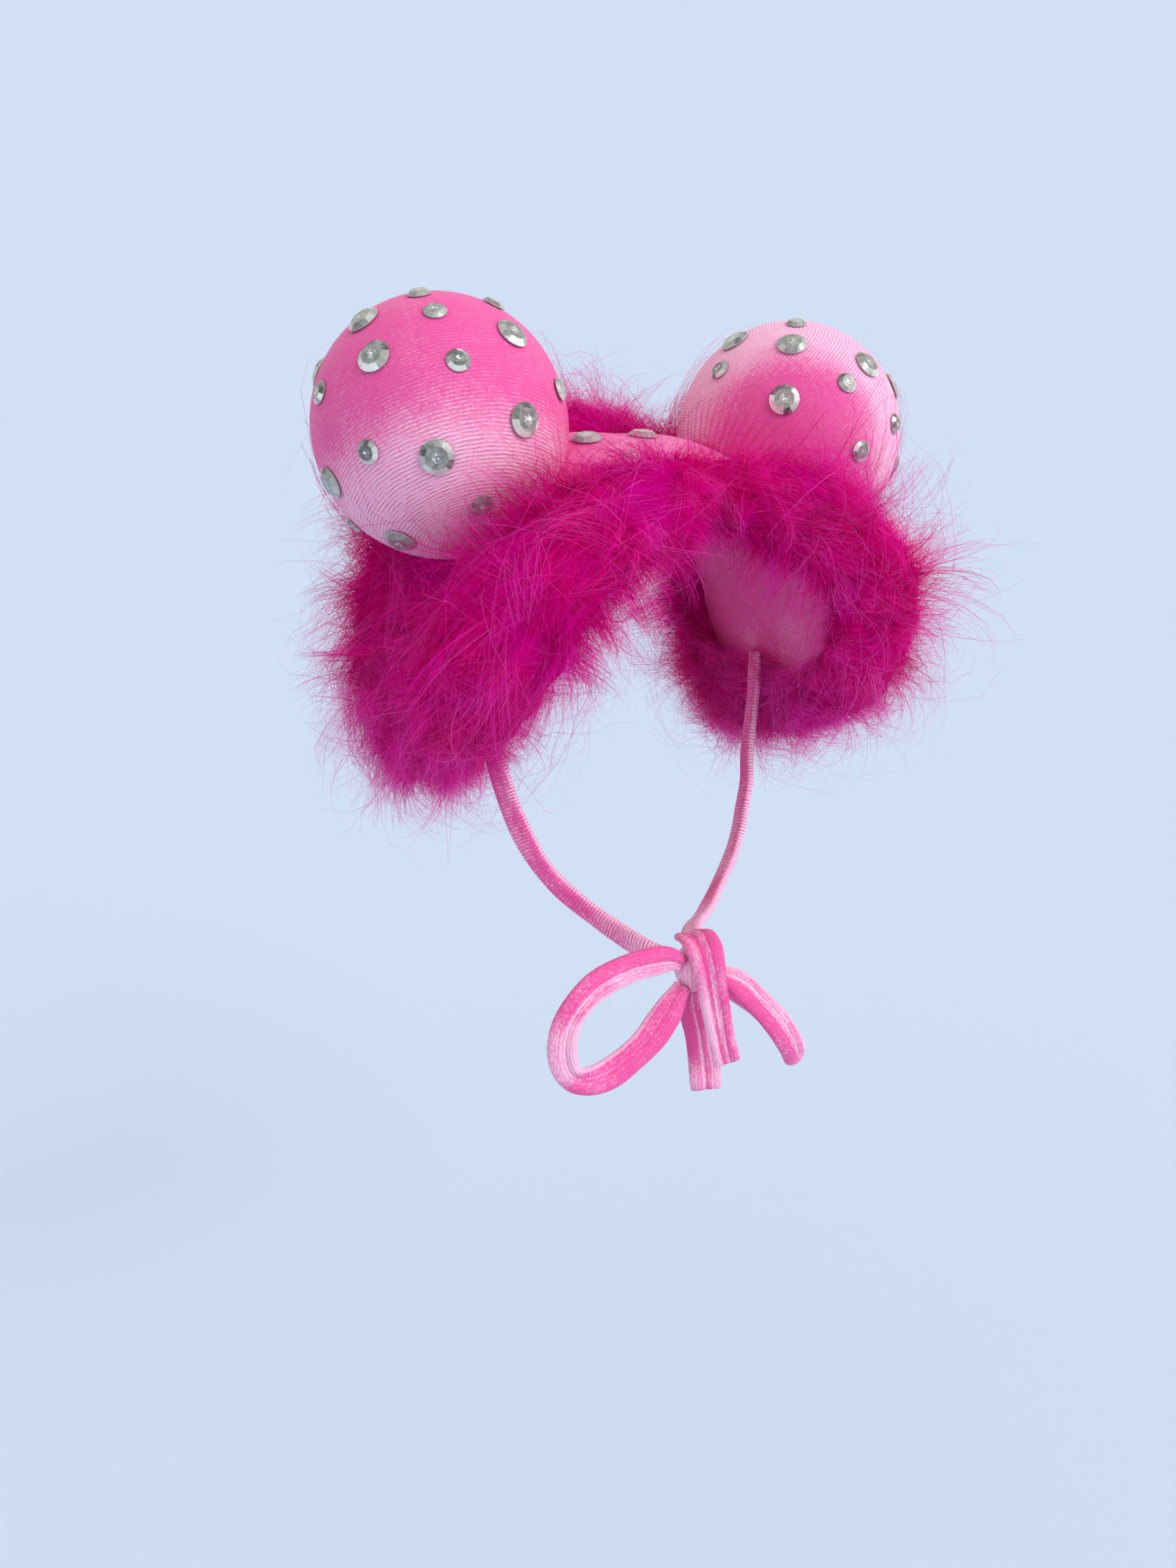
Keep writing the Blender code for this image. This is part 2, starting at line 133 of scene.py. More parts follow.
class Finish:
    """One material. node() adds any shader node, and the rest are the few that come back often."""

    def __init__(self, name, **constants):
        self.material = bpy.data.materials.new(name)
        self.material.use_nodes = True
        self.tree = self.material.node_tree
        self.shader = self.tree.nodes["Principled BSDF"]
        for socket, value in constants.items():
            self.shader.inputs[socket.replace("_", " ")].default_value = value

    def node(self, kind, settings=None, sockets=None, output=0):
        made = self.tree.nodes.new("ShaderNode" + kind)
        for key, value in (settings or {}).items():
            if key == "stops":
                ramp = made.color_ramp
                while len(ramp.elements) < len(value):
                    ramp.elements.new(0.5)
                for element, (place, colour) in zip(ramp.elements, value):
                    element.position, element.color = place, (*colour, 1.0)
            else:
                setattr(made, key, value)
        for key, value in (sockets or {}).items():
            self.join(value, made.inputs[key])
        return Wire(self, made.outputs[output])

    def join(self, value, socket):
        if isinstance(value, Wire):
            self.tree.links.new(value.socket, socket)
        else:
            socket.default_value = value

    def sum(self, operation, *values):
        return self.node("Math", {"operation": operation}, dict(enumerate(values)))

    def spread(self, value, low, high):
        """0 below low, 1 above high and smooth between."""
        ends = {"Value": value, "From Min": low, "From Max": high}
        return self.node("MapRange", {"interpolation_type": "SMOOTHSTEP"}, ends)

    def mix(self, share, first, second):
        """Two colours mixed."""
        first, second = ((*tone, 1.0) if isinstance(tone, tuple) else tone for tone in (first, second))
        return self.node("Mix", {"data_type": "RGBA"}, {0: share, 6: first, 7: second}, output=2)

    def place(self):
        return self.node("TexCoord", output=3)

    def across(self, part):
        """One number of the piece's own UV map: 0 for U, 1 for V."""
        flat = self.node("UVMap", {"uv_map": "cloth"})
        return self.node("SeparateXYZ", {}, {0: flat}, output=part)

    def noise(self, scale, detail=2.0, vector=None, roughness=0.5):
        place = vector or self.place()
        sockets = {"Vector": place, "Scale": scale, "Detail": detail, "Roughness": roughness}
        return self.node("TexNoise", {}, sockets)

    def colour(self, value):
        self.join(value, self.shader.inputs["Base Color"])


HOT_PINK = (0.78, 0.080, 0.33)
SHEEN_PINK = (0.96, 0.49, 0.71)
RIB_HIGHLIGHT_PINK = (0.99, 0.78, 0.88)
SHADE_PINK = (0.55, 0.035, 0.21)
PILE_GLOW = {"Sheen_Weight": 0.22, "Sheen_Roughness": 0.4, "Sheen_Tint": (1.0, 0.75, 0.9, 1.0)}
FINE_GRAIN, PILE_CLUMPS, WORN_PATCHES, MOTTLE = 1500.0, 620.0, 300.0, 60.0
PILE_DEPTH = 0.35 * MM


def velvet(name, pale, ribs, pitch, ribbed, folds=None, speckle=1.0):
    """Stretch velvet. pale(finish) says where the pile leans and a painted sheen goes, ribs(finish) the way
    across the ribs in mm, pitch how far apart they lie, ribbed how strong the ribs' painted highlights and
    painted shade are where it shines, folds(finish) how deep the cloth is drawn in, with painted shade in the
    folds, and speckle how unevenly the pile stands."""
    made = Finish(name, Roughness=0.65, Specular_IOR_Level=0.2, **PILE_GLOW)
    wander = made.noise(190.0, 4.0) * 4.6 + made.noise(28.0, 1.0) * 9.0
    rib = made.sum("SINE", ribs(made) * (math.tau / pitch) + wander) * 0.5 + 0.5
    grain = made.noise(FINE_GRAIN, 1.0)
    pile = made.noise(PILE_CLUMPS, 3.0, roughness=0.65)
    uneven = ((grain - 0.5) * 0.35 + (pile - 0.5) * 0.9) * speckle
    # Painted sheen: where the pile leans, the pale tone stands in for the shine that the leaning pile gives
    # under light.
    lean = pale(made) + (made.noise(MOTTLE, 4.0) - 0.5) * 0.5 + uneven
    nap_sheen = made.spread(lean, -0.08, 1.1)
    tone = made.mix(nap_sheen, HOT_PINK, SHEEN_PINK)
    worn = made.spread(made.noise(WORN_PATCHES), 0.28, 0.64)
    # Painted shade: the furrows between the ribs, and the grain, are darkened.
    furrow_shade = (1.0 - rib) * (nap_sheen + 0.3) * worn * ribbed * 0.7 + (1.0 - grain) * 0.12
    tone = made.mix(furrow_shade, tone, SHADE_PINK)
    # Painted highlight: the rib tops are mixed towards near white where the pile shines.
    tone = made.mix(rib * rib * rib * (nap_sheen + 0.12) * worn * ribbed * 1.6, tone, RIB_HIGHLIGHT_PINK)
    height = rib * worn * 0.7 + grain * 0.5
    if folds:
        drawn = folds(made)
        # Painted shade in the gathered folds.
        tone = made.mix(drawn * 0.4, tone, SHADE_PINK)
        height = height - drawn * 2.0
    made.colour(tone)
    bump = made.node("Bump", {}, {"Height": height, "Distance": PILE_DEPTH, "Strength": 0.6})
    made.join(bump, made.shader.inputs["Normal"])
    return made.material


STRAP_GIRTH = 34.0


def streaks(made, length, contrast):
    """Long soft patches of painted sheen that run with a strap."""
    drift = made.node("CombineXYZ", {}, {0: made.across(0) * (1 / length), 1: made.across(1) * 2.2})
    return (made.noise(1.0, 2.0, drift) - 0.5) * contrast


def across_face(made):
    """How far across a strap, from 1 at the edge where V is 0 to -1 at the other one."""
    return made.sum("COSINE", made.across(1) * math.tau)


def line_at(made, place, width):
    """1 on a line that runs along a strap at a place across it, and 0 beside it."""
    return 1.0 - made.spread(made.sum("ABSOLUTE", across_face(made) - place), 0.4 * width, width)


def far_side(made):
    """1 on the side of a strap that looks away from its facing."""
    return made.spread(made.sum("SINE", made.across(1) * math.tau) * -1.0, 0.1, 0.7)


def tie_sheen(made):
    """Painted sheen: a tie shines along both edges, and more near the knot."""
    both = made.spread(made.sum("ABSOLUTE", across_face(made)), 0.72, 0.97)
    return both * 0.75 + made.spread(made.across(0), 135.0, 185.0) * 0.5 + streaks(made, 55.0, 2.0) + 0.24


def loop_sheen(made):
    """Painted sheen and highlight: a loop's first half shows a wide shining band by a thin bright line, its
    second half a thin edge.
    """
    first = 1.0 - made.spread(made.across(0), 92.0, 112.0)
    fold = made.spread(made.across(0), 70.0, 84.0) * (1.0 - made.spread(made.across(0), 98.0, 112.0))
    band = made.spread(across_face(made) * -1.0, 0.05, 0.35) * first * 0.5
    bright = line_at(made, -0.12, 0.18) * first * 0.6
    edge = made.spread(across_face(made) * -1.0, 0.68, 0.90) * 0.9
    return band + bright + edge + fold * 0.8 + far_side(made) * 0.45 + streaks(made, 36.0, 1.6) + 0.02


def tail_sheen(made, side):
    """Painted sheen and highlight: a tail shines along the edge that side names, 1 or -1, on a thin line by its
    crease and at its end.
    """
    band = made.spread(across_face(made) * side, 0.15, 0.45) * 0.65
    line = line_at(made, -0.08 * side, 0.16) * 0.55
    end = made.spread(made.across(0), 32.0, 54.0) * 0.4
    return band + line + end + far_side(made) * 0.45 + streaks(made, 30.0, 2.4)


def along_strap(made):
    return made.across(0)


def round_strap(made):
    return made.across(1) * STRAP_GIRTH


def tail_velvet(name, side):
    return velvet(name, lambda made: tail_sheen(made, side), round_strap, 1.3, 0.4, speckle=1.7)


TIE_VELVET = velvet("tie_velvet", tie_sheen, along_strap, 1.8, 0.75, speckle=1.5)
LOOP_VELVET = velvet("loop_velvet", loop_sheen, round_strap, 1.3, 0.36, speckle=1.9)
FRONT_TAIL_VELVET = tail_velvet("front_tail_velvet", 1.0)
BACK_TAIL_VELVET = tail_velvet("back_tail_velvet", -1.0)


def smooth_through(rows, per_span, closed=False):
    """Catmull-Rom curve through rows of numbers, with per_span steps from each row to the next."""
    rows = np.asarray(rows, float)
    if closed:
        padded = np.vstack([rows[-1:], rows, rows[:2]])
    else:
        padded = np.vstack([2 * rows[0] - rows[1], rows, 2 * rows[-1] - rows[-2]])
    out = []
    for before, start, end, after in zip(padded, padded[1:], padded[2:], padded[3:]):
        for step in range(per_span):
            t = step / per_span
            out.append(0.5 * (
                2 * start
                + (end - before) * t
                + (2 * before - 5 * start + 4 * end - after) * t ** 2
                + (3 * start - before - 3 * end + after) * t ** 3
            ))
    return np.array(out if closed else [*out, rows[-1]])


def run_along(points):
    """How far along a line each of its points lies."""
    return np.concatenate([[0.0], np.cumsum(np.linalg.norm(np.diff(points[:, :3], axis=0), axis=1))])


def even_steps(points, step, closed=False):
    """Points at even distances along a line of points."""
    if closed:
        points = np.vstack([points, points[:1]])
    lengths = run_along(points)
    count = max(2, round(lengths[-1] / step))
    at = np.linspace(0.0, lengths[-1], count if closed else count + 1, endpoint=not closed)
    return np.column_stack([np.interp(at, lengths, column) for column in points.T])


def unit(vectors):
    return vectors / np.maximum(np.linalg.norm(vectors, axis=-1, keepdims=True), 1e-12)


def add_mesh(name, points, faces, uv, look, smooth=True):
    """A mesh at the origin from points, faces as rows of corners, and one UV for each corner of a face."""
    mesh = bpy.data.meshes.new(name)
    mesh.vertices.add(len(points))
    mesh.vertices.foreach_set("co", np.asarray(points, np.float32).ravel())
    corners = faces.shape[1]
    mesh.loops.add(faces.size)
    mesh.loops.foreach_set("vertex_index", faces.astype(np.int32).ravel())
    mesh.polygons.add(len(faces))
    mesh.polygons.foreach_set("loop_start", np.arange(0, faces.size, corners, dtype=np.int32))
    mesh.update(calc_edges=True)
    mesh.uv_layers.new(name="cloth").data.foreach_set("uv", np.asarray(uv, np.float32).ravel())
    mesh.materials.append(look)
    made = bpy.data.objects.new(name, mesh)
    bpy.context.scene.collection.objects.link(made)
    if not smooth:
        mesh.polygons.foreach_set("use_smooth", np.zeros(len(faces), bool))
    mesh.validate()
    return made


def add_grid(name, grid, uv, look, closed_rows=False, closed_columns=False):
    """A surface through a grid of points, joined up where its rows or columns are closed."""
    rows, columns = grid.shape[:2]
    i, j = np.meshgrid(
        np.arange(rows if closed_rows else rows - 1), np.arange(columns if closed_columns else columns - 1),
        indexing="ij",
    )
    i, j = i.ravel(), j.ravel()
    corners = [(i, j), (i + 1, j), (i + 1, j + 1), (i, j + 1)]
    faces = np.stack([(a % rows) * columns + b % columns for a, b in corners], axis=1)
    flat = np.stack([np.stack([uv[0][a], uv[1][b]], axis=1) for a, b in corners], axis=1)
    return add_mesh(name, grid.reshape(-1, 3), faces, flat, look)


def pick(made):
    """Selects one piece and nothing else."""
    bpy.ops.object.select_all(action="DESELECT")
    made.select_set(True)
    bpy.context.view_layer.objects.active = made


def close_outwards(made):
    """Fills a shape's open rings, such as a tube's ends, and turns its faces outwards."""
    pick(made)
    bpy.ops.object.mode_set(mode="EDIT")
    bpy.ops.mesh.select_all(action="SELECT")
    bpy.ops.mesh.fill_holes(sides=0)
    bpy.ops.mesh.select_all(action="SELECT")
    bpy.ops.mesh.normals_make_consistent(inside=False)
    bpy.ops.object.mode_set(mode="OBJECT")


def off_knot(near):
    """The point just off the knot's surface, on the way from near to the knot's middle."""
    away = (Vector(near) * MM - KNOT_AT).normalized()
    shrunk = Vector(part / half for part, half in zip(away, KNOT_HALF))
    return tuple((KNOT_AT + away * (1 / shrunk.length + KNOT_GAP)) / MM)


def add_strap(name, route, facing, ends, widths, creases, look):
    """A creased flat tube along a route in mm. facing gives the way that its flat side looks at each point,
    widths its width at even steps and creases where each lies across it, from -1 to 1, and how deep it is."""
    route = list(route)
    if route[0] is None:
        route[0] = off_knot(route[1])
    if route[-1] is None:
        route[-1] = off_knot(route[-2])
    line = even_steps(smooth_through(route, 12), STRAP_STEP / MM) * MM
    count = len(line)
    along = unit(np.gradient(line, axis=0))
    face = np.array([facing(point, i / (count - 1)) for i, point in enumerate(line)])
    face = unit(face - along * (face * along).sum(1, keepdims=True))
    for _ in range(6):
        face[1:-1] = unit(face[:-2] + face[1:-1] * 2 + face[2:])
        face = unit(face - along * (face * along).sum(1, keepdims=True))
    side = np.cross(along, face)
    run = np.arange(count) * STRAP_STEP
    width = np.interp(np.linspace(0, 1, count), np.linspace(0, 1, len(widths)), widths) * MM
    thick = np.full(count, STRAP_THICK)
    width *= 1 + 0.05 * np.sin(run / (17 * MM) + len(name)) + 0.03 * np.sin(run / (6.1 * MM))
    for end, from_end in zip(ends, (run, run[::-1])):
        if end == "knot":
            pinch = np.exp(-(from_end / PINCH_REACH) ** 2)
            width *= 1 - 0.34 * pinch
            thick *= 1 + 0.25 * pinch
        elif end == "sewn":
            thick *= 1 - 0.45 * np.exp(-(from_end / SEWN_REACH) ** 2)
        elif end == "seam":
            thick *= 0.5 + 0.5 * np.clip(from_end / (5 * MM), 0, 1) ** 0.6
            width *= 0.94 + 0.06 * np.clip(from_end / (4 * MM), 0, 1)
    turn = math.tau * np.arange(AROUND_STRAP) / AROUND_STRAP
    flat_at, high_at = np.cos(turn), np.sin(turn)
    flat_at = np.sign(flat_at) * np.abs(flat_at) ** 0.85
    high_at = np.sign(high_at) * np.abs(high_at) ** 0.75
    drift = 0.10 * np.sin(run / (23 * MM) + 1.3 * len(name))[:, None]
    crease = sum(depth * np.exp(-((flat_at - at - drift) / CREASE_WIDTH) ** 2) for at, depth in creases)
    pucker = 0.06 * np.sin(run[:, None] / (2.3 * MM) + 3 * flat_at) * np.sin(run / (9 * MM))[:, None]
    high = high_at * (1 - crease + pucker * (1 - np.abs(flat_at)))
    grid = (
        line[:, None]
        + side[:, None] * (width[:, None] / 2 * flat_at)[..., None]
        + face[:, None] * (thick[:, None] / 2 * high)[..., None]
    )
    middles = grid.mean(axis=1, keepdims=True)
    tips = middles + (grid - middles) * TIP_SHARE
    grid = np.concatenate([tips[:1], grid, tips[-1:]])
    run = np.concatenate([[run[0]], run, [run[-1]]])
    made = add_grid(name, grid, (run / MM, np.linspace(0, 1, AROUND_STRAP + 1)), look, closed_columns=True)
    close_outwards(made)
    made["length"] = float(run_along(line)[-1])
    return made, line


def from_hollow(point, share):
    """The left tie lies flat round the hollow."""
    return point - HOLLOW_MIDDLE


def to_front_right(point, share):
    return np.array((-0.42, -0.88, 0.12))


def right_tie_face(point, share):
    """The right tie lies flat round the hollow, then turns its flat side to the front below it."""
    return unit(from_hollow(point, share)) * 0.5 + to_front_right(point, share) * (0.6 + 0.6 * share)


def left_loop_face(point, share):
    """The left loop shows its edge to the front right, and turns over at its tip."""
    return np.array((0.20, -0.90, 0.35)) * (1 - share) + np.array((-0.75, -0.55, -0.35)) * share


def over_knot(point, share):
    """The front tail turns over the top of the knot and then hangs flat towards the front."""
    top = max(0.0, 1.0 - share / 0.22)
    return np.array((-0.30, -0.92, 0.10)) * (1 - top) + np.array((0.0, -0.25, 1.0)) * top


STRAPS = {
    "tie_right": (TIE_RIGHT, right_tie_face, ("sewn", "knot"), (10.5, 11.5), [(0.1, 0.25)], TIE_VELVET),
    "tie_left": (TIE_LEFT, from_hollow, ("sewn", "knot"), (10.5, 11.5), [(0.1, 0.25)], TIE_VELVET),
    "bow_loop_right": (
        LOOP_RIGHT, to_front_right, ("knot", "knot"), (12.5, 15.0, 14.5, 13.0, 12.5, 15.5, 16.0, 14.0),
        [(-0.25, 0.8)], LOOP_VELVET,
    ),
    "bow_loop_left": (
        LOOP_LEFT, left_loop_face, ("knot", "knot"), (13.0, 15.0, 14.0, 14.5, 12.5),
        [(-0.1, 0.5)], LOOP_VELVET,
    ),
    "bow_tail_front": (
        TAIL_FRONT, over_knot, ("none", "seam"), (17.6, 17.6, 15.5, 14.2, 14.0),
        [(0.35, 0.9), (-0.08, 0.8)], FRONT_TAIL_VELVET,
    ),
    "bow_tail_back": (
        TAIL_BACK, to_front_right, ("knot", "seam"), (14.5, 15.5, 17.0),
        [(0.1, 0.9), (-0.45, 0.5)], BACK_TAIL_VELVET,
    ),
}
straps = {name: add_strap(f"velvet_{name}", *row) for name, row in STRAPS.items()}


# The bow's knot: the same velvet strap wound tight round the crossing, so it is plump and shows three bands.
# It lies where the knot's solid does, and each strap meets it with a hair's gap.
KNOT_AROUND, KNOT_LEVELS = 72, 56
KNOT_RUN = 12
turns = np.linspace(0, math.tau, KNOT_AROUND, endpoint=False)
tilts = np.linspace(-np.pi / 2 + 0.01, np.pi / 2 - 0.01, KNOT_LEVELS)
tilt, turn = np.meshgrid(tilts, turns, indexing="ij")
shell = np.stack([np.cos(turn) * np.cos(tilt), np.sin(turn) * np.cos(tilt), np.sin(tilt)], axis=-1)
lean = shell[..., 0] + 0.35 * shell[..., 2]
bands = 0.07 * np.abs(np.cos(lean * 4.6)) ** 0.6 - 0.05
folds = 0.018 * np.sin(lean * 21 + 2.0 * shell[..., 2])
knot_grid = np.array(KNOT_AT) + shell * np.array(KNOT_HALF) * (1 + bands + folds)[..., None]
knot_uv = (tilts * KNOT_RUN, np.linspace(0, 1, KNOT_AROUND + 1))
knot = add_grid("velvet_knot", knot_grid, knot_uv, LOOP_VELVET, closed_columns=True)
close_outwards(knot)
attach(knot, "root")
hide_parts("bow_knot")

back_tail = straps["bow_tail_back"][0]
for name, far_end, lay, on_it in (
    ("tie_right", "knot", "hanging", [knot, back_tail]), ("tie_left", "knot", "hanging", [knot, back_tail]),
    ("bow_loop_right", "knot", "loose", [knot]), ("bow_loop_left", "knot", "loose", [knot]),
    ("bow_tail_front", "bare", "hanging", []), ("bow_tail_back", None, None, None),
):
    strap, line = straps[name]
    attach(strap, "root")
    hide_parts(name)


# The crown: a saddle of stiffened cloth from side flap to side flap, covered in the same stretch velvet. The
# marabou is sewn round its whole edge, and the balls sit on its shoulders. A row holds its front edge, middle
# and back edge, in mm.
CROWN_WALL, RIM_ROUND = 3.0 * MM, 1.0 * MM
CROWN_ACROSS = 132
CROWN_ROWS = [
    ((0, -62, -24), (0, 0, 3.1), (0, 66, 0)), ((30, -64, -28), (30, 0, 2.5), (30, 66, -3)),
    ((56, -68, -40), (52, 0, -6), (54, 68, -14)), ((78, -68, -60), (70, 0, -24), (74, 66, -36)),
    ((88, -64, -84), (82, 0, -52), (86, 62, -66)), ((93, -50, -106), (89, 2, -84), (91, 56, -96)),
    ((94, -26, -122), (92.5, 6, -112), (94, 42, -120)), ((94, -4, -129), (94, 10, -128), (94, 24, -129)),
]
half = [np.array(row, float).ravel() for row in CROWN_ROWS]
flip = np.array([-1, 1, 1] * 3, float)
arch = smooth_through([row * flip for row in half[:0:-1]] + half, 6) * MM
shares = np.linspace(0, 1, 41)
front, middle, back = arch[:, None, 0:3], arch[:, None, 3:6], arch[:, None, 6:9]
s = shares[None, :, None]
crown_grid = front * (1 - s) * (1 - 2 * s) + middle * 4 * s * (1 - s) + back * s * (2 * s - 1)


# Painted sheen in soft random patches over the crown.
def crown_sheen(made):
    return made.noise(16.0, 2.0) * 1.2 - 0.5


crown_uv = (run_along(arch[:, 3:6]) / MM, shares * CROWN_ACROSS)
crown_velvet = velvet("crown_velvet", crown_sheen, along_strap, 1.45, 0.5)
crown = add_grid("velvet_crown", crown_grid, crown_uv, crown_velvet)
crown_skin = BVHTree.FromObject(crown, bpy.context.evaluated_depsgraph_get())
wall = crown.modifiers.new("wall", "SOLIDIFY")
wall.thickness, wall.offset, wall.use_even_offset = CROWN_WALL, -1.0, True
rim = crown.modifiers.new("rim", "BEVEL")
rim.width, rim.segments, rim.angle_limit = RIM_ROUND, 3, math.radians(60)
pick(crown)
for step in ("wall", "rim"):
    bpy.ops.object.modifier_apply(modifier=step)
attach(crown, "root")
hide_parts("crown")


# The balls: light foam, 120 mm across, under stretch velvet that is pulled tight and gathered at the seat,
# where each is glued and sewn to the crown's shoulder. The cloth's U runs in mm to the seat, its V round it.
BALL_RADIUS = 60 * MM
BALL_X, BALL_Z = 101 * MM, 3.5 * MM
SEAT_TILT = math.radians(42)
GATHERS = 18
GATHER_DEPTH = 1.6 * MM
GATHER_REACH = math.radians(92)
SEAT_GAP = 0.5 * MM
SEAT_U, ROUND_V = math.pi * 60, 60
FOLDS_REACH = 70
FINE_FOLDS = 62


def towards(made, centre, way):
    """The cosine of the angle between a direction and the way from a ball's middle to the surface."""
    away = made.node("VectorMath", {"operation": "SUBTRACT"}, {0: made.place(), 1: tuple(centre)})
    away = made.node("VectorMath", {"operation": "NORMALIZE"}, {0: away})
    way = tuple(Vector(way).normalized())
    return made.node("VectorMath", {"operation": "DOT_PRODUCT"}, {0: away, 1: way}, output=1)


def lobe(made, centre, way, near, far):
    """1 around a direction from a ball's middle, fading to 0 between two cosines."""
    return made.spread(towards(made, centre, way), far, near)


def gathers(made):
    """Fine folds that run out from the seat, where U is greatest."""
    near = made.spread(made.across(0), SEAT_U - FOLDS_REACH, SEAT_U - 0.7 * FOLDS_REACH)
    wave = made.sum("SINE", made.across(1) * (math.tau * FINE_FOLDS / ROUND_V) + made.noise(45.0) * 7.0)
    return made.spread(wave, -0.1, 0.9) * near


def right_ball_sheen(made, centre):
    """Painted sheen where the pile lies down on the lower front of this ball, and on its back."""
    front = lobe(made, centre, (-0.04, -0.44, -0.90), 0.88, 0.10) * 1.15
    return front + lobe(made, centre, (0.3, 0.85, 0.2), 0.9, 0.2) * 0.8


def left_ball_sheen(made, centre):
    """The pile stands up on the front of this ball, and lies down round it, where a painted sheen goes."""
    return 0.95 - lobe(made, centre, (-0.58, -0.80, -0.12), 0.93, 0.50)


for word, side, pale, rib_pole in (
    ("right", -1, right_ball_sheen, (0.04, -0.47, -0.88)), ("left", 1, left_ball_sheen, (-0.65, 0.10, 0.78)),
):
    centre = Vector((side * BALL_X, 0.0, BALL_Z))
    to_seat = Vector((-side * math.cos(SEAT_TILT), 0.0, -math.sin(SEAT_TILT)))
    bpy.ops.object.select_all(action="DESELECT")
    bpy.ops.mesh.primitive_uv_sphere_add(segments=144, ring_count=96, radius=BALL_RADIUS)
    ball = bpy.context.object
    mesh = ball.data
    ball.name = mesh.name = f"velvet_ball_{word}"
    places = np.empty(len(mesh.vertices) * 3, np.float32)
    mesh.vertices.foreach_get("co", places)
    places = places.reshape(-1, 3).astype(float)
    from_seat = np.arccos(np.clip(places[:, 2] / BALL_RADIUS, -1, 1))
    around = np.arctan2(places[:, 1], places[:, 0])
    fade = np.cos(np.minimum(from_seat / GATHER_REACH, 1.0) * np.pi / 2).clip(0) ** 1.3
    drawn = 0.5 + 0.5 * np.cos(GATHERS * around + 0.5 * np.sin(3 * around))
    places *= (1 - GATHER_DEPTH / BALL_RADIUS * fade * drawn)[:, None]
    turn = np.array(to_seat.to_track_quat("Z", "Y").to_matrix())
    places = places @ turn.T
    for k, place in enumerate(places):
        reach = float(np.linalg.norm(place))
        hit, _, _, distance = crown_skin.ray_cast(centre, Vector(place / reach), reach + SEAT_GAP)
        if hit is not None:
            places[k] = place / reach * (distance - SEAT_GAP)
    mesh.vertices.foreach_set("co", (places + np.array(centre)).astype(np.float32).ravel())
    layer = mesh.uv_layers[0]
    layer.name = "cloth"
    flat = np.empty(len(mesh.loops) * 2, np.float32)
    layer.data.foreach_get("uv", flat)
    flat = flat.reshape(-1, 2)
    layer.data.foreach_set("uv", np.stack([flat[:, 1] * SEAT_U, flat[:, 0] * ROUND_V], axis=1).ravel())
    mesh.polygons.foreach_set("use_smooth", np.ones(len(mesh.polygons), bool))
    mesh.update()

    def ribs(made):
        return made.sum("ARCCOSINE", towards(made, centre, rib_pole)) * (BALL_RADIUS / MM)

    mesh.materials.append(velvet(ball.name, lambda made: pale(made, centre), ribs, 1.65, 0.5, gathers))
    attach(ball, "root")
    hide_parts(f"ear_ball_{word}")


# The rhinestones: clear acrylic flat-backs, 15 and 10.5 mm across, silvered behind and glued on. Each has ten
# facets round a wide flat table. Each facet's grey is a painted reflection: bright on the lower facets, where
# the foil throws light up, and dark on the upper ones. The table gets a dark painted reflection and painted
# glints near its middle.
FACETS = 10
TABLE_SHARE, FOOT_SHARE = 0.68, 0.985
GIRDLE_LEVEL = 0.26
FACET_TINT, GLINT = np.array([0.94, 0.99, 0.90]), (0.97, 0.98, 0.98)
CLOUD_GREY = (0.66, 0.71, 0.65)
stone_dice = np.random.default_rng(11)
crystal = Finish("clear_rhinestone", Metallic=0.12, Roughness=0.2, Coat_Weight=0.5, Coat_Roughness=0.03)
facet_reflection_grey = crystal.node("Attribute", {"attribute_name": "facet"})
# Painted glints: specks near the table's middle are mixed to near white.
glint_cells = crystal.node("TexVoronoi", {}, {"Vector": crystal.place(), "Scale": 1300.0}, output=1)
speck = crystal.node("SeparateColor", {}, {0: glint_cells})
middle = crystal.node("Attribute", {"attribute_name": "middle"}, output=2)
spark = crystal.spread(speck, 0.55, 0.75) * crystal.spread(middle, 0.45, 0.75)
cloud = crystal.spread(crystal.noise(420.0), 0.35, 0.7)
crystal.colour(crystal.mix(spark * 0.8, crystal.mix(cloud * 0.25, facet_reflection_grey, CLOUD_GREY), GLINT))


def stone_frame(node):
    """The middle of a stone's flat back, the way that the stone faces, its half width and its height."""
    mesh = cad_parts[node].data
    wide = max(mesh.polygons, key=lambda face: sum(
        other.area for other in mesh.polygons if other.normal.dot(face.normal) > 0.999
    ))
    facing = -wide.normal.copy()
    spots = [vertex.co.copy() for vertex in mesh.vertices]
    lowest = min(spot.dot(facing) for spot in spots)
    highest = max(spot.dot(facing) for spot in spots)
    base = [spot for spot in spots if spot.dot(facing) - lowest < 0.05 * MM]
    middle_at = sum(base, Vector()) / len(base)
    return middle_at, facing, max((spot - middle_at).length for spot in base), highest - lowest


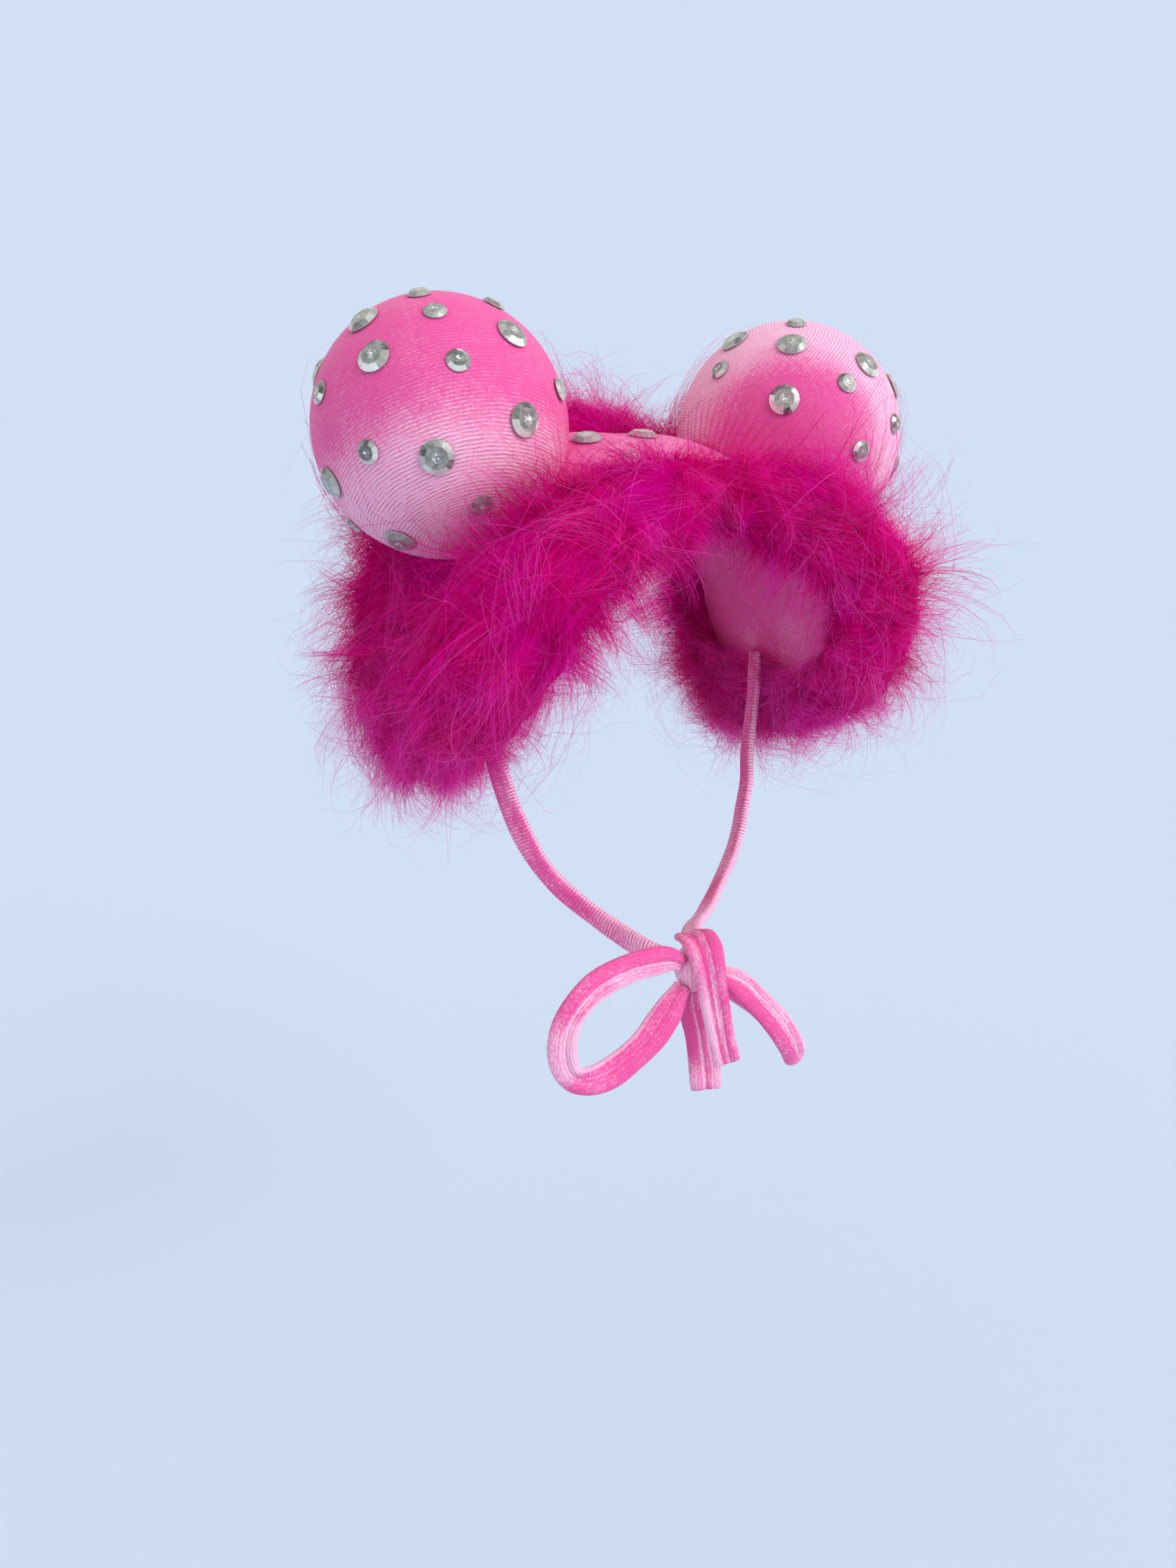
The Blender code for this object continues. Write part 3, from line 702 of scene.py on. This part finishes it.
def add_stones(name, nodes):
    """Stones where their nodes are: corner points, triangles and each facet's grey, in one mesh."""
    points, faces, greys, middles = [], [], [], []
    for node in nodes:
        middle_at, facing, radius, height = stone_frame(node)
        spin = Matrix.Rotation(stone_dice.uniform(0, 6.3), 3, "Z").to_quaternion()
        turn = facing.to_track_quat("Z", "Y") @ spin
        upright, sparkle = 1.0 - 0.75 * abs(facing.z), float(stone_dice.uniform(0.6, 1.3))

        def ring(count, share, level):
            start = len(points)
            for k in range(count):
                angle = math.tau * k / count
                spot = Vector((math.cos(angle) * radius * share, math.sin(angle) * radius * share, level))
                points.append(middle_at + turn @ spot)
            return start

        def face(corners, grey, middle=(0.0, 0.0, 0.0)):
            faces.append(corners)
            greys.append(grey)
            middles.append(middle)

        def facet_light(angle):
            """Painted reflection: bright low down and dark high up, with much chance in it, and even on a stone
            that looks up.
            """
            up = (turn @ Vector((math.cos(angle), math.sin(angle), 0.0))).z
            chance = stone_dice.normal(0, 0.30) * upright * sparkle
            return float(np.clip(0.42 - 0.20 * abs(facing.z) - 0.40 * up * upright + chance, 0.06, 0.95))

        foot = ring(2 * FACETS, FOOT_SHARE, 0.0)
        girdle = ring(2 * FACETS, 1.0, height * GIRDLE_LEVEL)
        table = ring(FACETS, TABLE_SHARE, height)
        top, bottom = len(points), len(points) + 1
        points += [middle_at + turn @ Vector((0, 0, height)), middle_at.copy()]
        # Painted reflection: the table is a dark grey, lighter on a stone that faces up or down.
        clear = 0.10 + 0.10 * abs(facing.z) + 0.18 * float(stone_dice.random()) ** 2
        for k in range(FACETS):
            a, b = table + k, table + (k + 1) % FACETS
            c, d, e = girdle + 2 * k, girdle + 2 * k + 1, girdle + (2 * k + 2) % (2 * FACETS)
            grey = facet_light(math.tau * (k + 0.5) / FACETS)
            for corners in ((a, c, d), (a, d, b), (b, d, e)):
                face(corners, grey)
            face((top, a, b), clear + float(stone_dice.uniform(-0.05, 0.05)), (1.0, 0.0, 0.0))
        for k in range(2 * FACETS):
            n = (k + 1) % (2 * FACETS)
            face((girdle + k, foot + k, girdle + n), 0.5)
            face((foot + k, foot + n, girdle + n), 0.5)
            face((bottom, foot + n, foot + k), 0.3)
    points, faces = [tuple(point) for point in points], np.array(faces)
    made = add_mesh(name, points, faces, np.zeros((faces.size, 2)), crystal.material, smooth=False)
    tint = np.array(greys)[:, None] * FACET_TINT
    tint = np.repeat(np.column_stack([tint, np.ones(len(greys))]), 3, axis=0)
    made.data.attributes.new("facet", "FLOAT_COLOR", "CORNER").data.foreach_set("color", tint.ravel())
    made.data.attributes.new("middle", "FLOAT", "CORNER").data.foreach_set("value", np.array(middles).ravel())
    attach(made, "root")
    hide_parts(*nodes)


for word in ("right", "left", "crown"):
    add_stones(f"stones_{word}", sorted(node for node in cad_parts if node.startswith(f"stone_{word}_")))


# The marabou: turkey down on a twisted cord, sewn in one thick ring round the crown's edge. Its barbs stand
# out on all sides in soft tufts, lie against the balls, leave the hollow free and thin out to single pale
# ones. A row holds a place on the ring's middle line and how far its down reaches, in mm.
TRIM_CENTRE = np.array((0, 0, -70)) * MM
TRIM_ROWS = [
    (0, -68, -28, 27), (40, -76, -36, 38), (78, -76, -58, 46), (98, -68, -84, 53), (105, -54, -108, 50),
    (108, -24, -128, 46), (107, 14, -138, 44), (104, 44, -136, 47), (100, 59, -112, 51), (97, 61, -80, 52),
    (82, 70, -38, 47), (44, 76, -8, 41), (0, 74, 2, 39),
]
STATIONS = 240
WAYS = 40
CORE_SHARE = 0.58
LOCK_RELIEF = 0.35
HOLLOW_CENTRE = np.array((0, 12, -140)) * MM
HOLLOW_HALF = np.array((90, 89, 131)) * MM
SKID_UP = np.array((0.0, -0.10, 0.45))
LOW_CORNER = np.array((100, -52, -112)) * MM
LOW_CORNER_SPREAD = 34 * MM
IN_AND_DOWN = np.array((-0.60, -0.45, -0.66))
CORNER_TRIM, FRONT_TRIM = 0.42, 0.15
FLOW_OUT, FLOW_DOWN = 0.40, 0.42
CREST_UP, CREST_GROWTH = 2.6, 0.20
RUFFLED_UP, RUFFLED_GROWTH = 3.0, 0.75
LONG_CREEP = 3.0
CLIMB_RIGHT, CLIMB_LEFT = 1.15, 1.75
LEFT_PALER = 0.14
CROWN_HALF, CROWN_LOW = np.array((92, 76)) * MM, -75 * MM
OFF_CROWN = 0.6 * MM
BOX_ROOM = 0.03 * (np.array(cad_high) - np.array(cad_low)) + 7 * MM
BOX_LOW, BOX_HIGH = np.array(cad_low) - BOX_ROOM, np.array(cad_high) + BOX_ROOM
dice = np.random.default_rng(5)

half = [np.array(row, float) for row in TRIM_ROWS]
rows = half + [row * np.array([-1, 1, 1, 1]) for row in half[-2:0:-1]]
ring_line = smooth_through(rows, 24, closed=True)
ring_length = run_along(np.vstack([ring_line, ring_line[:1]]))[-1]
ring_line = even_steps(ring_line, ring_length / STATIONS, closed=True) * MM
ring_length *= MM
ring_at, ring_reach = ring_line[:, :3], ring_line[:, 3]
ring_along = unit(np.roll(ring_at, -2, axis=0) - np.roll(ring_at, 2, axis=0))
ring_out = ring_at - TRIM_CENTRE
ring_out = unit(ring_out - ring_along * (ring_out * ring_along).sum(1, keepdims=True))
ring_across = np.cross(ring_along, ring_out)

trim_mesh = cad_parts["marabou_trim"].data
trim_skin = BVHTree.FromPolygons([v.co for v in trim_mesh.vertices], [p.vertices for p in trim_mesh.polygons])
packed_reach = np.zeros((STATIONS, WAYS))
for i in range(STATIONS):
    start = Vector(ring_at[i])
    for j in range(WAYS):
        turn = math.tau * j / WAYS
        way = Vector(math.cos(turn) * ring_out[i] + math.sin(turn) * ring_across[i])
        hit = trim_skin.ray_cast(start, way, 80 * MM)[3]
        packed_reach[i, j] = hit if hit is not None else 4 * MM
even_reach = packed_reach
for axis in (0, 1) * 6:
    even_reach = (2 * even_reach + np.roll(even_reach, 1, axis) + np.roll(even_reach, -1, axis)) / 4
packed_reach = LOCK_RELIEF * packed_reach + (1 - LOCK_RELIEF) * even_reach * 1.08


def on_ring(table, turns):
    """A table's rows read at places round the ring, from 0 to 1."""
    at = (turns % 1.0) * STATIONS
    low = at.astype(int) % STATIONS
    share = at - np.floor(at)
    share = share[:, None] if table.ndim > 1 else share
    return table[low] * (1 - share) + table[(low + 1) % STATIONS] * share


def free_reach(turns, angles):
    """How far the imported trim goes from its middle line, at places round the ring and ways round the line."""
    i, j = (turns % 1.0) * STATIONS, (angles / (math.tau) % 1.0) * WAYS
    a, b = i.astype(int) % STATIONS, j.astype(int) % WAYS
    s, t = i - np.floor(i), j - np.floor(j)
    c, d = (a + 1) % STATIONS, (b + 1) % WAYS
    return (
        packed_reach[a, b] * (1 - s) * (1 - t) + packed_reach[c, b] * s * (1 - t)
        + packed_reach[a, d] * (1 - s) * t + packed_reach[c, d] * s * t
    )


def way_out(turns, angles):
    return (
        np.cos(angles)[:, None] * unit(on_ring(ring_out, turns))
        + np.sin(angles)[:, None] * unit(on_ring(ring_across, turns))
    )


def slid_over_ball(points, starts, gap, slide, side):
    """Lays points that fall inside a ball on it, slide times as far along it as they went in."""
    centre = np.array((side * BALL_X, 0.0, BALL_Z))
    least = BALL_RADIUS + gap
    inside = np.linalg.norm(points - centre, axis=-1) < least
    start, end, rim, on = starts[inside], points[inside], least[inside][:, None], slide[inside][:, None]
    way = end - start
    go = np.maximum(np.linalg.norm(way, axis=-1, keepdims=True), 1e-9)
    way = way / go
    from_centre = start - centre
    half_b = (from_centre * way).sum(-1, keepdims=True)
    under = np.maximum(half_b ** 2 - (from_centre ** 2).sum(-1, keepdims=True) + rim ** 2, 0.0)
    enters = np.clip(-half_b - np.sqrt(under), 0.0, go)
    entry = start + way * enters
    normal = unit(entry - centre)
    skid = unit(way - normal * (way * normal).sum(-1, keepdims=True) + SKID_UP)
    points[inside] = centre + unit(entry + skid * (go - enters) * on - centre) * rim
    return points


def kept_clear(points, starts, gap, slide, room):
    """Points moved out of the balls and of a share of the hollow."""
    for side in (-1, 1):
        points = slid_over_ball(points, starts, gap, slide, side)
    inside = (points - HOLLOW_CENTRE) / HOLLOW_HALF / room[:, None, None]
    flat = np.maximum(inside[..., 2], 0.0)
    size = np.sqrt(inside[..., 0] ** 2 + inside[..., 1] ** 2 + flat ** 2)
    grow = np.where(size < 1, 1 / np.maximum(size, 1e-6), 1.0)[..., None]
    grow = np.concatenate([grow, grow, np.where(inside[..., 2:] < 0, 1.0, grow)], axis=-1)
    return inside * grow * HOLLOW_HALF * room[:, None, None] + HOLLOW_CENTRE


def ramp(value, start, run):
    """0 at start and 1 a run farther on, in the run's direction."""
    return np.clip((value - start) / run, 0, 1)


def barb_reach(turns, angles):
    """How far a barb may go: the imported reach, and its whole length where it lies over a ball or the hollow.
    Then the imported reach's share of that length."""
    packed, full = free_reach(turns, angles), on_ring(ring_reach, turns)
    edge = on_ring(ring_at, turns) + way_out(turns, angles) * packed[:, None]
    inside = (edge - HOLLOW_CENTRE) / HOLLOW_HALF
    inside[:, 2] = np.maximum(inside[:, 2], 0.0)
    pressed = ramp(np.linalg.norm(inside, axis=1), 1.08, -0.03) * 0.8
    for side in (-1, 1):
        far = np.linalg.norm(edge - np.array((side * BALL_X, 0.0, BALL_Z)), axis=1)
        pressed = np.maximum(pressed, ramp(far, BALL_RADIUS + 22 * MM, -8 * MM))
    return packed + np.maximum(full - packed, 0) * pressed, packed / full


marabou = Finish("magenta_marabou", Roughness=0.9, Specular_IOR_Level=0.02)
from_root, shade = marabou.across(0), marabou.across(1)
# Painted shade: the barbs darken towards their roots, deep in the down.
dye_light_and_shade = marabou.node("ValToRGB", {"stops": [
    (0.0, (0.56, 0.0, 0.15)), (0.45, (0.86, 0.0, 0.27)), (0.80, (0.90, 0.0, 0.42)), (1.0, (0.93, 0.09, 0.60)),
]}, {0: from_root})
level = marabou.node("SeparateXYZ", {}, {0: marabou.place()}, output=2)
# Painted light from below: the outer parts of the barbs are paler towards the bottom of the trim.
low_painted_light = (1.0 - marabou.spread(level, -160 * MM, -80 * MM)) * marabou.spread(from_root, 0.30, 0.95)
for share, tint in (
    # Painted light: paler, bluer patches where tufts catch the light.
    (marabou.spread(marabou.noise(24.0), 0.40, 0.66) * 0.5, (0.82, 0.0, 0.52)),
    # Painted shade: dark pockets between the tufts.
    (marabou.spread(marabou.noise(62.0), 0.50, 0.72) * 0.6, (0.50, 0.0, 0.12)),
    (marabou.spread(shade, 0.60, 1.0) * 0.8, (0.96, 0.15, 0.66)),
    ((1.0 - marabou.spread(shade, 0.0, 0.40)) * 0.6, (0.62, 0.0, 0.17)),
    (low_painted_light * 0.5, (0.94, 0.17, 0.70)),
):
    dye_light_and_shade = marabou.mix(share, dye_light_and_shade, tint)
marabou.colour(dye_light_and_shade)
through = marabou.node("BsdfTranslucent", {}, {0: dye_light_and_shade})
surface = Wire(marabou, marabou.shader.outputs[0])
both = marabou.node("MixShader", {}, {0: 0.45, 1: surface, 2: through})
marabou.join(both, marabou.tree.nodes["Material Output"].inputs["Surface"])

core_turns, core_ways = np.arange(STATIONS) / STATIONS, math.tau * np.arange(WAYS) / WAYS
core_out = way_out(np.repeat(core_turns, WAYS), np.tile(core_ways, STATIONS)).reshape(STATIONS, WAYS, 3)
core_grid = ring_at[:, None, :] + core_out * (packed_reach * CORE_SHARE)[:, :, None]
core_uv = (np.full(STATIONS + 1, 0.35), np.full(WAYS + 1, 0.4))
core = add_grid("marabou_core", core_grid, core_uv, marabou.material, closed_rows=True, closed_columns=True)
close_outwards(core)


def low_corner(turns, angles):
    """1 for barbs that grow in and down from the trim's lower front, where they are kept shorter."""
    at, out = on_ring(ring_at, turns), way_out(turns, angles)
    mirror = np.stack([np.sign(at[:, 0]), np.ones(len(at)), np.ones(len(at))], axis=1)
    near = np.exp(-((at * mirror - LOW_CORNER) ** 2).sum(1) / LOW_CORNER_SPREAD ** 2)
    return near * np.clip((out * mirror * IN_AND_DOWN).sum(1), 0, 1)


def front_side(turns, angles):
    """1 for barbs that grow sideways from the front half of the trim, which bulges less than the back."""
    at, out = on_ring(ring_at, turns), way_out(turns, angles)
    return ramp(at[:, 1], 0, -50 * MM) * np.clip(out[:, 0] * np.sign(at[:, 0]), 0, 1)


def crest(turns):
    """1 behind the crown's top, where the barbs stand up tallest."""
    at = on_ring(ring_at, turns)
    return ramp(at[:, 1], 50 * MM, 20 * MM) * ramp(at[:, 2], -45 * MM, 30 * MM)


def ruffled(turns):
    """1 at the front left shoulder, where the barbs stand up before the ball."""
    at = on_ring(ring_at, turns)
    return ramp(at[:, 2], -100 * MM, 30 * MM) * ramp(at[:, 1], 0, -30 * MM) * ramp(at[:, 0], 45 * MM, 20 * MM)


def add_strands(count, joints, tufts, lengths, width, spread, lay, stray, pull, droop, pale, creep):
    """Barbs in tufts. Each rises from near the cord, then lies over along its tuft's flow, out and down, or
    up behind the crown: lay says how far, stray how much tufts differ, pull how far they close to points,
    droop how far they hang, pale how pale they are, and creep how far some reach over the balls."""
    width, spread = width * MM, spread * MM
    chance = np.cumsum(ring_reach) / ring_reach.sum()
    tuft_turn = np.interp(dice.random(tufts), chance, (np.arange(STATIONS) + 0.5) / STATIONS)
    tuft_angle = dice.uniform(0, math.tau, tufts)
    tuft_along = unit(on_ring(ring_along, tuft_turn))
    tuft_round = np.cross(tuft_along, way_out(tuft_turn, tuft_angle))
    flow = FLOW_OUT * on_ring(ring_out, tuft_turn) + dice.normal(0, stray, (tufts, 3))
    flow[:, 2] += FLOW_DOWN * (CREST_UP * crest(tuft_turn) + RUFFLED_UP * ruffled(tuft_turn) - 1)
    tuft_lay = np.stack([(flow * tuft_along).sum(1), (flow * tuft_round).sum(1)], axis=1) * lay
    tuft_length = lengths[0] + (lengths[1] - lengths[0]) * dice.random(tufts) ** 1.4
    tuft_shade = np.clip(dice.normal(0.42, 0.22, tufts), 0.02, 0.95)

    def path(turns, angles, lies, length, low, t):
        lean = t ** 1.3
        root, root_angle = turns[:, 0], angles[:, 0]
        far = on_ring(ring_reach, root)[:, None]
        at_turn = turns + lies[:, :1] * far / ring_length * lean
        at_angle = angles + np.clip(lies[:, 1:], -1.3, 1.3) * lean
        flat_turn, flat_angle = at_turn.ravel(), at_angle.ravel()
        reach, open_share = (values.reshape(at_turn.shape) for values in barb_reach(flat_turn, flat_angle))
        least = 0.8 if creep > LONG_CREEP else 0.75 * ruffled(root)[:, None]
        open_way = np.clip((open_share[:, -1:] - 0.5) / 0.3, least, 1.0)
        grown = 1 + (CREST_GROWTH * crest(root) + RUFFLED_GROWTH * ruffled(root))[:, None]
        high = np.where(length > 1, 1 + (length - 1) * open_way * grown, length)
        for trim, part in ((CORNER_TRIM, low_corner), (FRONT_TRIM, front_side)):
            high = high * (1 - trim * part(root, root_angle)[:, None])
        level = low + (high - low) * (1 - (1 - t) ** 1.7)
        out = way_out(flat_turn, flat_angle).reshape(*at_turn.shape, 3)
        at = on_ring(ring_at, flat_turn).reshape(*at_turn.shape, 3)
        return at + out * (reach * level)[..., None], open_way

    owner = dice.integers(0, tufts, count)
    turns = tuft_turn[owner] + dice.normal(0, spread / ring_length, count)
    angles = tuft_angle[owner] + dice.normal(0, spread / on_ring(ring_reach, tuft_turn[owner]), count)
    lies = tuft_lay[owner] + dice.normal(0, 0.22, (count, 2)) * lay
    length = (tuft_length[owner] * dice.uniform(0.72, 1.08, count))[:, None]
    t = np.linspace(0, 1, joints)[None, :]
    low = dice.uniform(0.34, 0.56, count)[:, None]
    spine, open_way = path(turns[:, None], angles[:, None], lies, length, low, t)
    tuft_low, tip = np.full((tufts, 1), 0.45), np.ones((1, 1))
    ends, _ = path(tuft_turn[:, None], tuft_angle[:, None], tuft_lay, tuft_length[:, None], tuft_low, tip)
    drawn = pull * dice.uniform(0.3, 1.0, count)[:, None] * open_way * t ** 2
    spine += (ends[owner] - spine[:, -1:]) * drawn[..., None]
    hang = droop * on_ring(ring_reach, turns) * dice.uniform(0.2, 1.8, count)
    spine[..., 2] -= hang[:, None] * t ** 2
    gap = np.repeat(dice.uniform(0.8, 6.0, count)[:, None] * MM, joints - 1, axis=1)
    start = spine[:, :1].copy()
    starts = np.repeat(start, joints - 1, axis=1)
    climb = np.where(start[..., 0] > 0, CLIMB_LEFT, CLIMB_RIGHT)
    slide = np.repeat((0.75 + creep * dice.random(count)[:, None] ** 3) * climb, joints - 1, axis=1)
    spine[:, 1:] = kept_clear(spine[:, 1:], starts, gap, slide, dice.uniform(0.90, 1.01, count))
    past = np.maximum((BOX_LOW - start) / np.minimum(spine - start, -1e-9), 0)
    past = np.minimum(past, np.maximum((BOX_HIGH - start) / np.maximum(spine - start, 1e-9), 0))
    spine = start + (spine - start) * np.minimum(1.0, past.min(axis=(1, 2)))[:, None, None]
    from_ball = np.abs(spine[:, -1]) - np.array((BALL_X, 0.0, BALL_Z))
    from_ball[:, 1:] = spine[:, -1, 1:] - np.array((0.0, BALL_Z))
    over_ball = ramp(np.linalg.norm(from_ball, axis=1), BALL_RADIUS + 12 * MM, -5 * MM)
    paler = pale + LEFT_PALER * ramp(start[:, 0, 0], 0, 60 * MM)
    tone = np.clip(tuft_shade[owner] + dice.normal(0, 0.14, count) + paler - 0.45 * over_ball, 0.02, 1.0)
    return {
        "spine": spine, "width": width * dice.uniform(0.6, 1.35, count), "turn": turns % 1.0, "tone": tone,
        "aim": unit(way_out(turns, angles) + dice.normal(0, 0.35, (count, 3))),
    }


def off_crown(spine):
    """Moves points that fall under the crown's outer face back over it."""
    flat = spine.reshape(-1, 3)
    near = (np.abs(flat[:, :2]) < CROWN_HALF).all(axis=1) & (flat[:, 2] > CROWN_LOW)
    for k in np.flatnonzero(near):
        place = Vector(flat[k])
        hit, normal, _, far = crown_skin.find_nearest(place, 30 * MM)
        if hit is None:
            continue
        if normal.dot(hit - Vector(TRIM_CENTRE)) < 0:
            normal = -normal
        above = (place - hit).dot(normal)
        if above < OFF_CROWN and abs(above) > 0.9 * far - 0.2 * MM:
            flat[k] = hit + normal * (OFF_CROWN + 0.8 * MM * (k % 7) / 7)
    return flat.reshape(spine.shape)


def ribbons(kind, chosen):
    """Tapered strips along the chosen spines: points, triangles and UVs."""
    spine, aim = kind["spine"][chosen], kind["aim"][chosen]
    count, joints = spine.shape[:2]
    along = np.gradient(spine, axis=1)
    side = unit(np.cross(along, aim[:, None, :]))
    t = np.linspace(0, 1, joints)
    half_width = kind["width"][chosen][:, None] * ((1 - t) ** 0.65)[None, :] / 2
    left, right = spine - side * half_width[..., None], spine + side * half_width[..., None]
    each = 2 * (joints - 1) + 1
    points = np.empty((count, each, 3))
    points[:, 0:-1:2], points[:, 1:-1:2], points[:, -1] = left[:, :-1], right[:, :-1], spine[:, -1]
    local = []
    for k in range(joints - 2):
        a, b, c, d = 2 * k, 2 * k + 1, 2 * k + 2, 2 * k + 3
        local += [(a, b, d), (a, d, c)]
    local.append((2 * (joints - 2), 2 * (joints - 2) + 1, each - 1))
    local = np.array(local)
    faces = (np.arange(count)[:, None, None] * each + local[None]).reshape(-1, 3)
    up = np.empty((count, each))
    up[:, 0:-1:2], up[:, 1:-1:2], up[:, -1] = t[:-1], t[:-1], 1.0
    uv = np.stack([up, np.repeat(kind["tone"][chosen][:, None], each, axis=1)], axis=-1).reshape(-1, 2)
    return points.reshape(-1, 3), faces, uv


# The short thick down by the cord comes first, then longer and finer barbs, and last those that lie out over
# the balls. A row gives what add_strands takes, in its order, with the barbs' width and spread in mm.
kinds = [add_strands(*row) for row in (
    (32000, 3, 2600, (0.62, 0.88), 0.60, 6, 0.30, 0.55, 0.15, 0.02, -0.10, 0.6),
    (47000, 5, 2300, (0.68, 1.08), 0.34, 4, 0.62, 0.85, 0.60, 0.03, -0.02, 1.0),
    (33000, 6, 1500, (0.88, 1.55), 0.20, 4, 0.42, 0.80, 0.80, 0.05, 0.05, 1.8),
    (6000, 9, 4500, (0.95, 1.80), 0.21, 6, 0.95, 1.05, 0.05, 0.08, 0.25, 3.5),
    (500, 10, 500, (1.10, 1.70), 0.34, 6, 0.90, 0.90, 0.00, 0.04, -0.10, 4.5),
)]
for kind in kinds:
    kind["spine"] = off_crown(kind["spine"])
ARCS = ("front_left", "side_left", "back", "side_right", "front_right")
every = np.concatenate([kind["turn"] for kind in kinds])
cost = np.concatenate([np.full(len(kind["turn"]), 2 * (kind["spine"].shape[1] - 2) + 1) for kind in kinds])
order = np.argsort(every)
filled = np.cumsum(cost[order]) / cost.sum()
fifths = np.searchsorted(filled, np.arange(1, len(ARCS)) / len(ARCS))
borders = [0.0, *every[order][fifths], 1.0]
trim = []
for word, low, high in zip(ARCS, borders, borders[1:]):
    parts = [ribbons(kind, np.flatnonzero((kind["turn"] >= low) & (kind["turn"] < high))) for kind in kinds]
    bases = np.cumsum([0] + [len(part[0]) for part in parts[:-1]])
    points = np.concatenate([part[0] for part in parts])
    faces = np.concatenate([part[1] + base for part, base in zip(parts, bases)])
    uv = np.concatenate([part[2] for part in parts])[faces]
    trim.append(add_mesh(f"marabou_{word}", points, faces, uv.reshape(-1, 2), marabou.material))
for piece in (*trim, core):
    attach(piece, "root")
    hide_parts("marabou_trim")


# The studio: a wide pale blue floor under an even sky of the same colour, with one soft lamp high in front on
# the bonnet's left and a weaker, lower one farther round that side. The floor's own colour is worked out so
# that it meets the sky unseen.
FLOOR_LEVEL, FLOOR_RADIUS = -0.62, 40.0
PALE_BLUE = np.array((0.638, 0.745, 0.913))
SKY = np.array((1.0, 0.985, 0.97)) * 0.82
LAMPS = {
    "key": {"at": (0.6, -1.4, 0.85), "power": 1.5, "angle": 40},
    "fill": {"at": (1.4, -0.9, 0.5), "power": 0.62, "angle": 60},
}
on_floor = SKY.copy()
for name, lamp in LAMPS.items():
    light = bpy.data.lights.new(name, "SUN")
    light.energy, light.angle = lamp["power"], math.radians(lamp["angle"])
    holder = bpy.data.objects.new(name, light)
    bpy.context.scene.collection.objects.link(holder)
    holder.location = lamp["at"]
    holder.rotation_euler = (-Vector(lamp["at"])).to_track_quat("-Z", "Y").to_euler()
    on_floor += lamp["power"] * Vector(lamp["at"]).normalized().z / math.pi

bpy.ops.object.select_all(action="DESELECT")
bpy.ops.mesh.primitive_circle_add(
    vertices=64, radius=FLOOR_RADIUS, fill_type="NGON", location=(0, 0, FLOOR_LEVEL),
)
floor = bpy.context.object
floor.name = "floor"
paper = Finish("floor_paper", Roughness=1.0, Specular_IOR_Level=0.0)
paper.colour((*(PALE_BLUE / on_floor), 1.0))
floor.data.materials.append(paper.material)

world = bpy.data.worlds.new("sky")
bpy.context.scene.world = world
world.use_nodes = True
sky = world.node_tree
glow = sky.nodes["Background"]
glow.inputs["Color"].default_value = (*SKY, 1.0)
seen = sky.nodes.new("ShaderNodeBackground")
seen.inputs["Color"].default_value = (*PALE_BLUE, 1.0)
rays = sky.nodes.new("ShaderNodeLightPath")
blend = sky.nodes.new("ShaderNodeMixShader")
for k, source in enumerate((rays.outputs["Is Camera Ray"], glow.outputs[0], seen.outputs[0])):
    sky.links.new(source, blend.inputs[k])
sky.links.new(blend.outputs[0], sky.nodes["World Output"].inputs["Surface"])
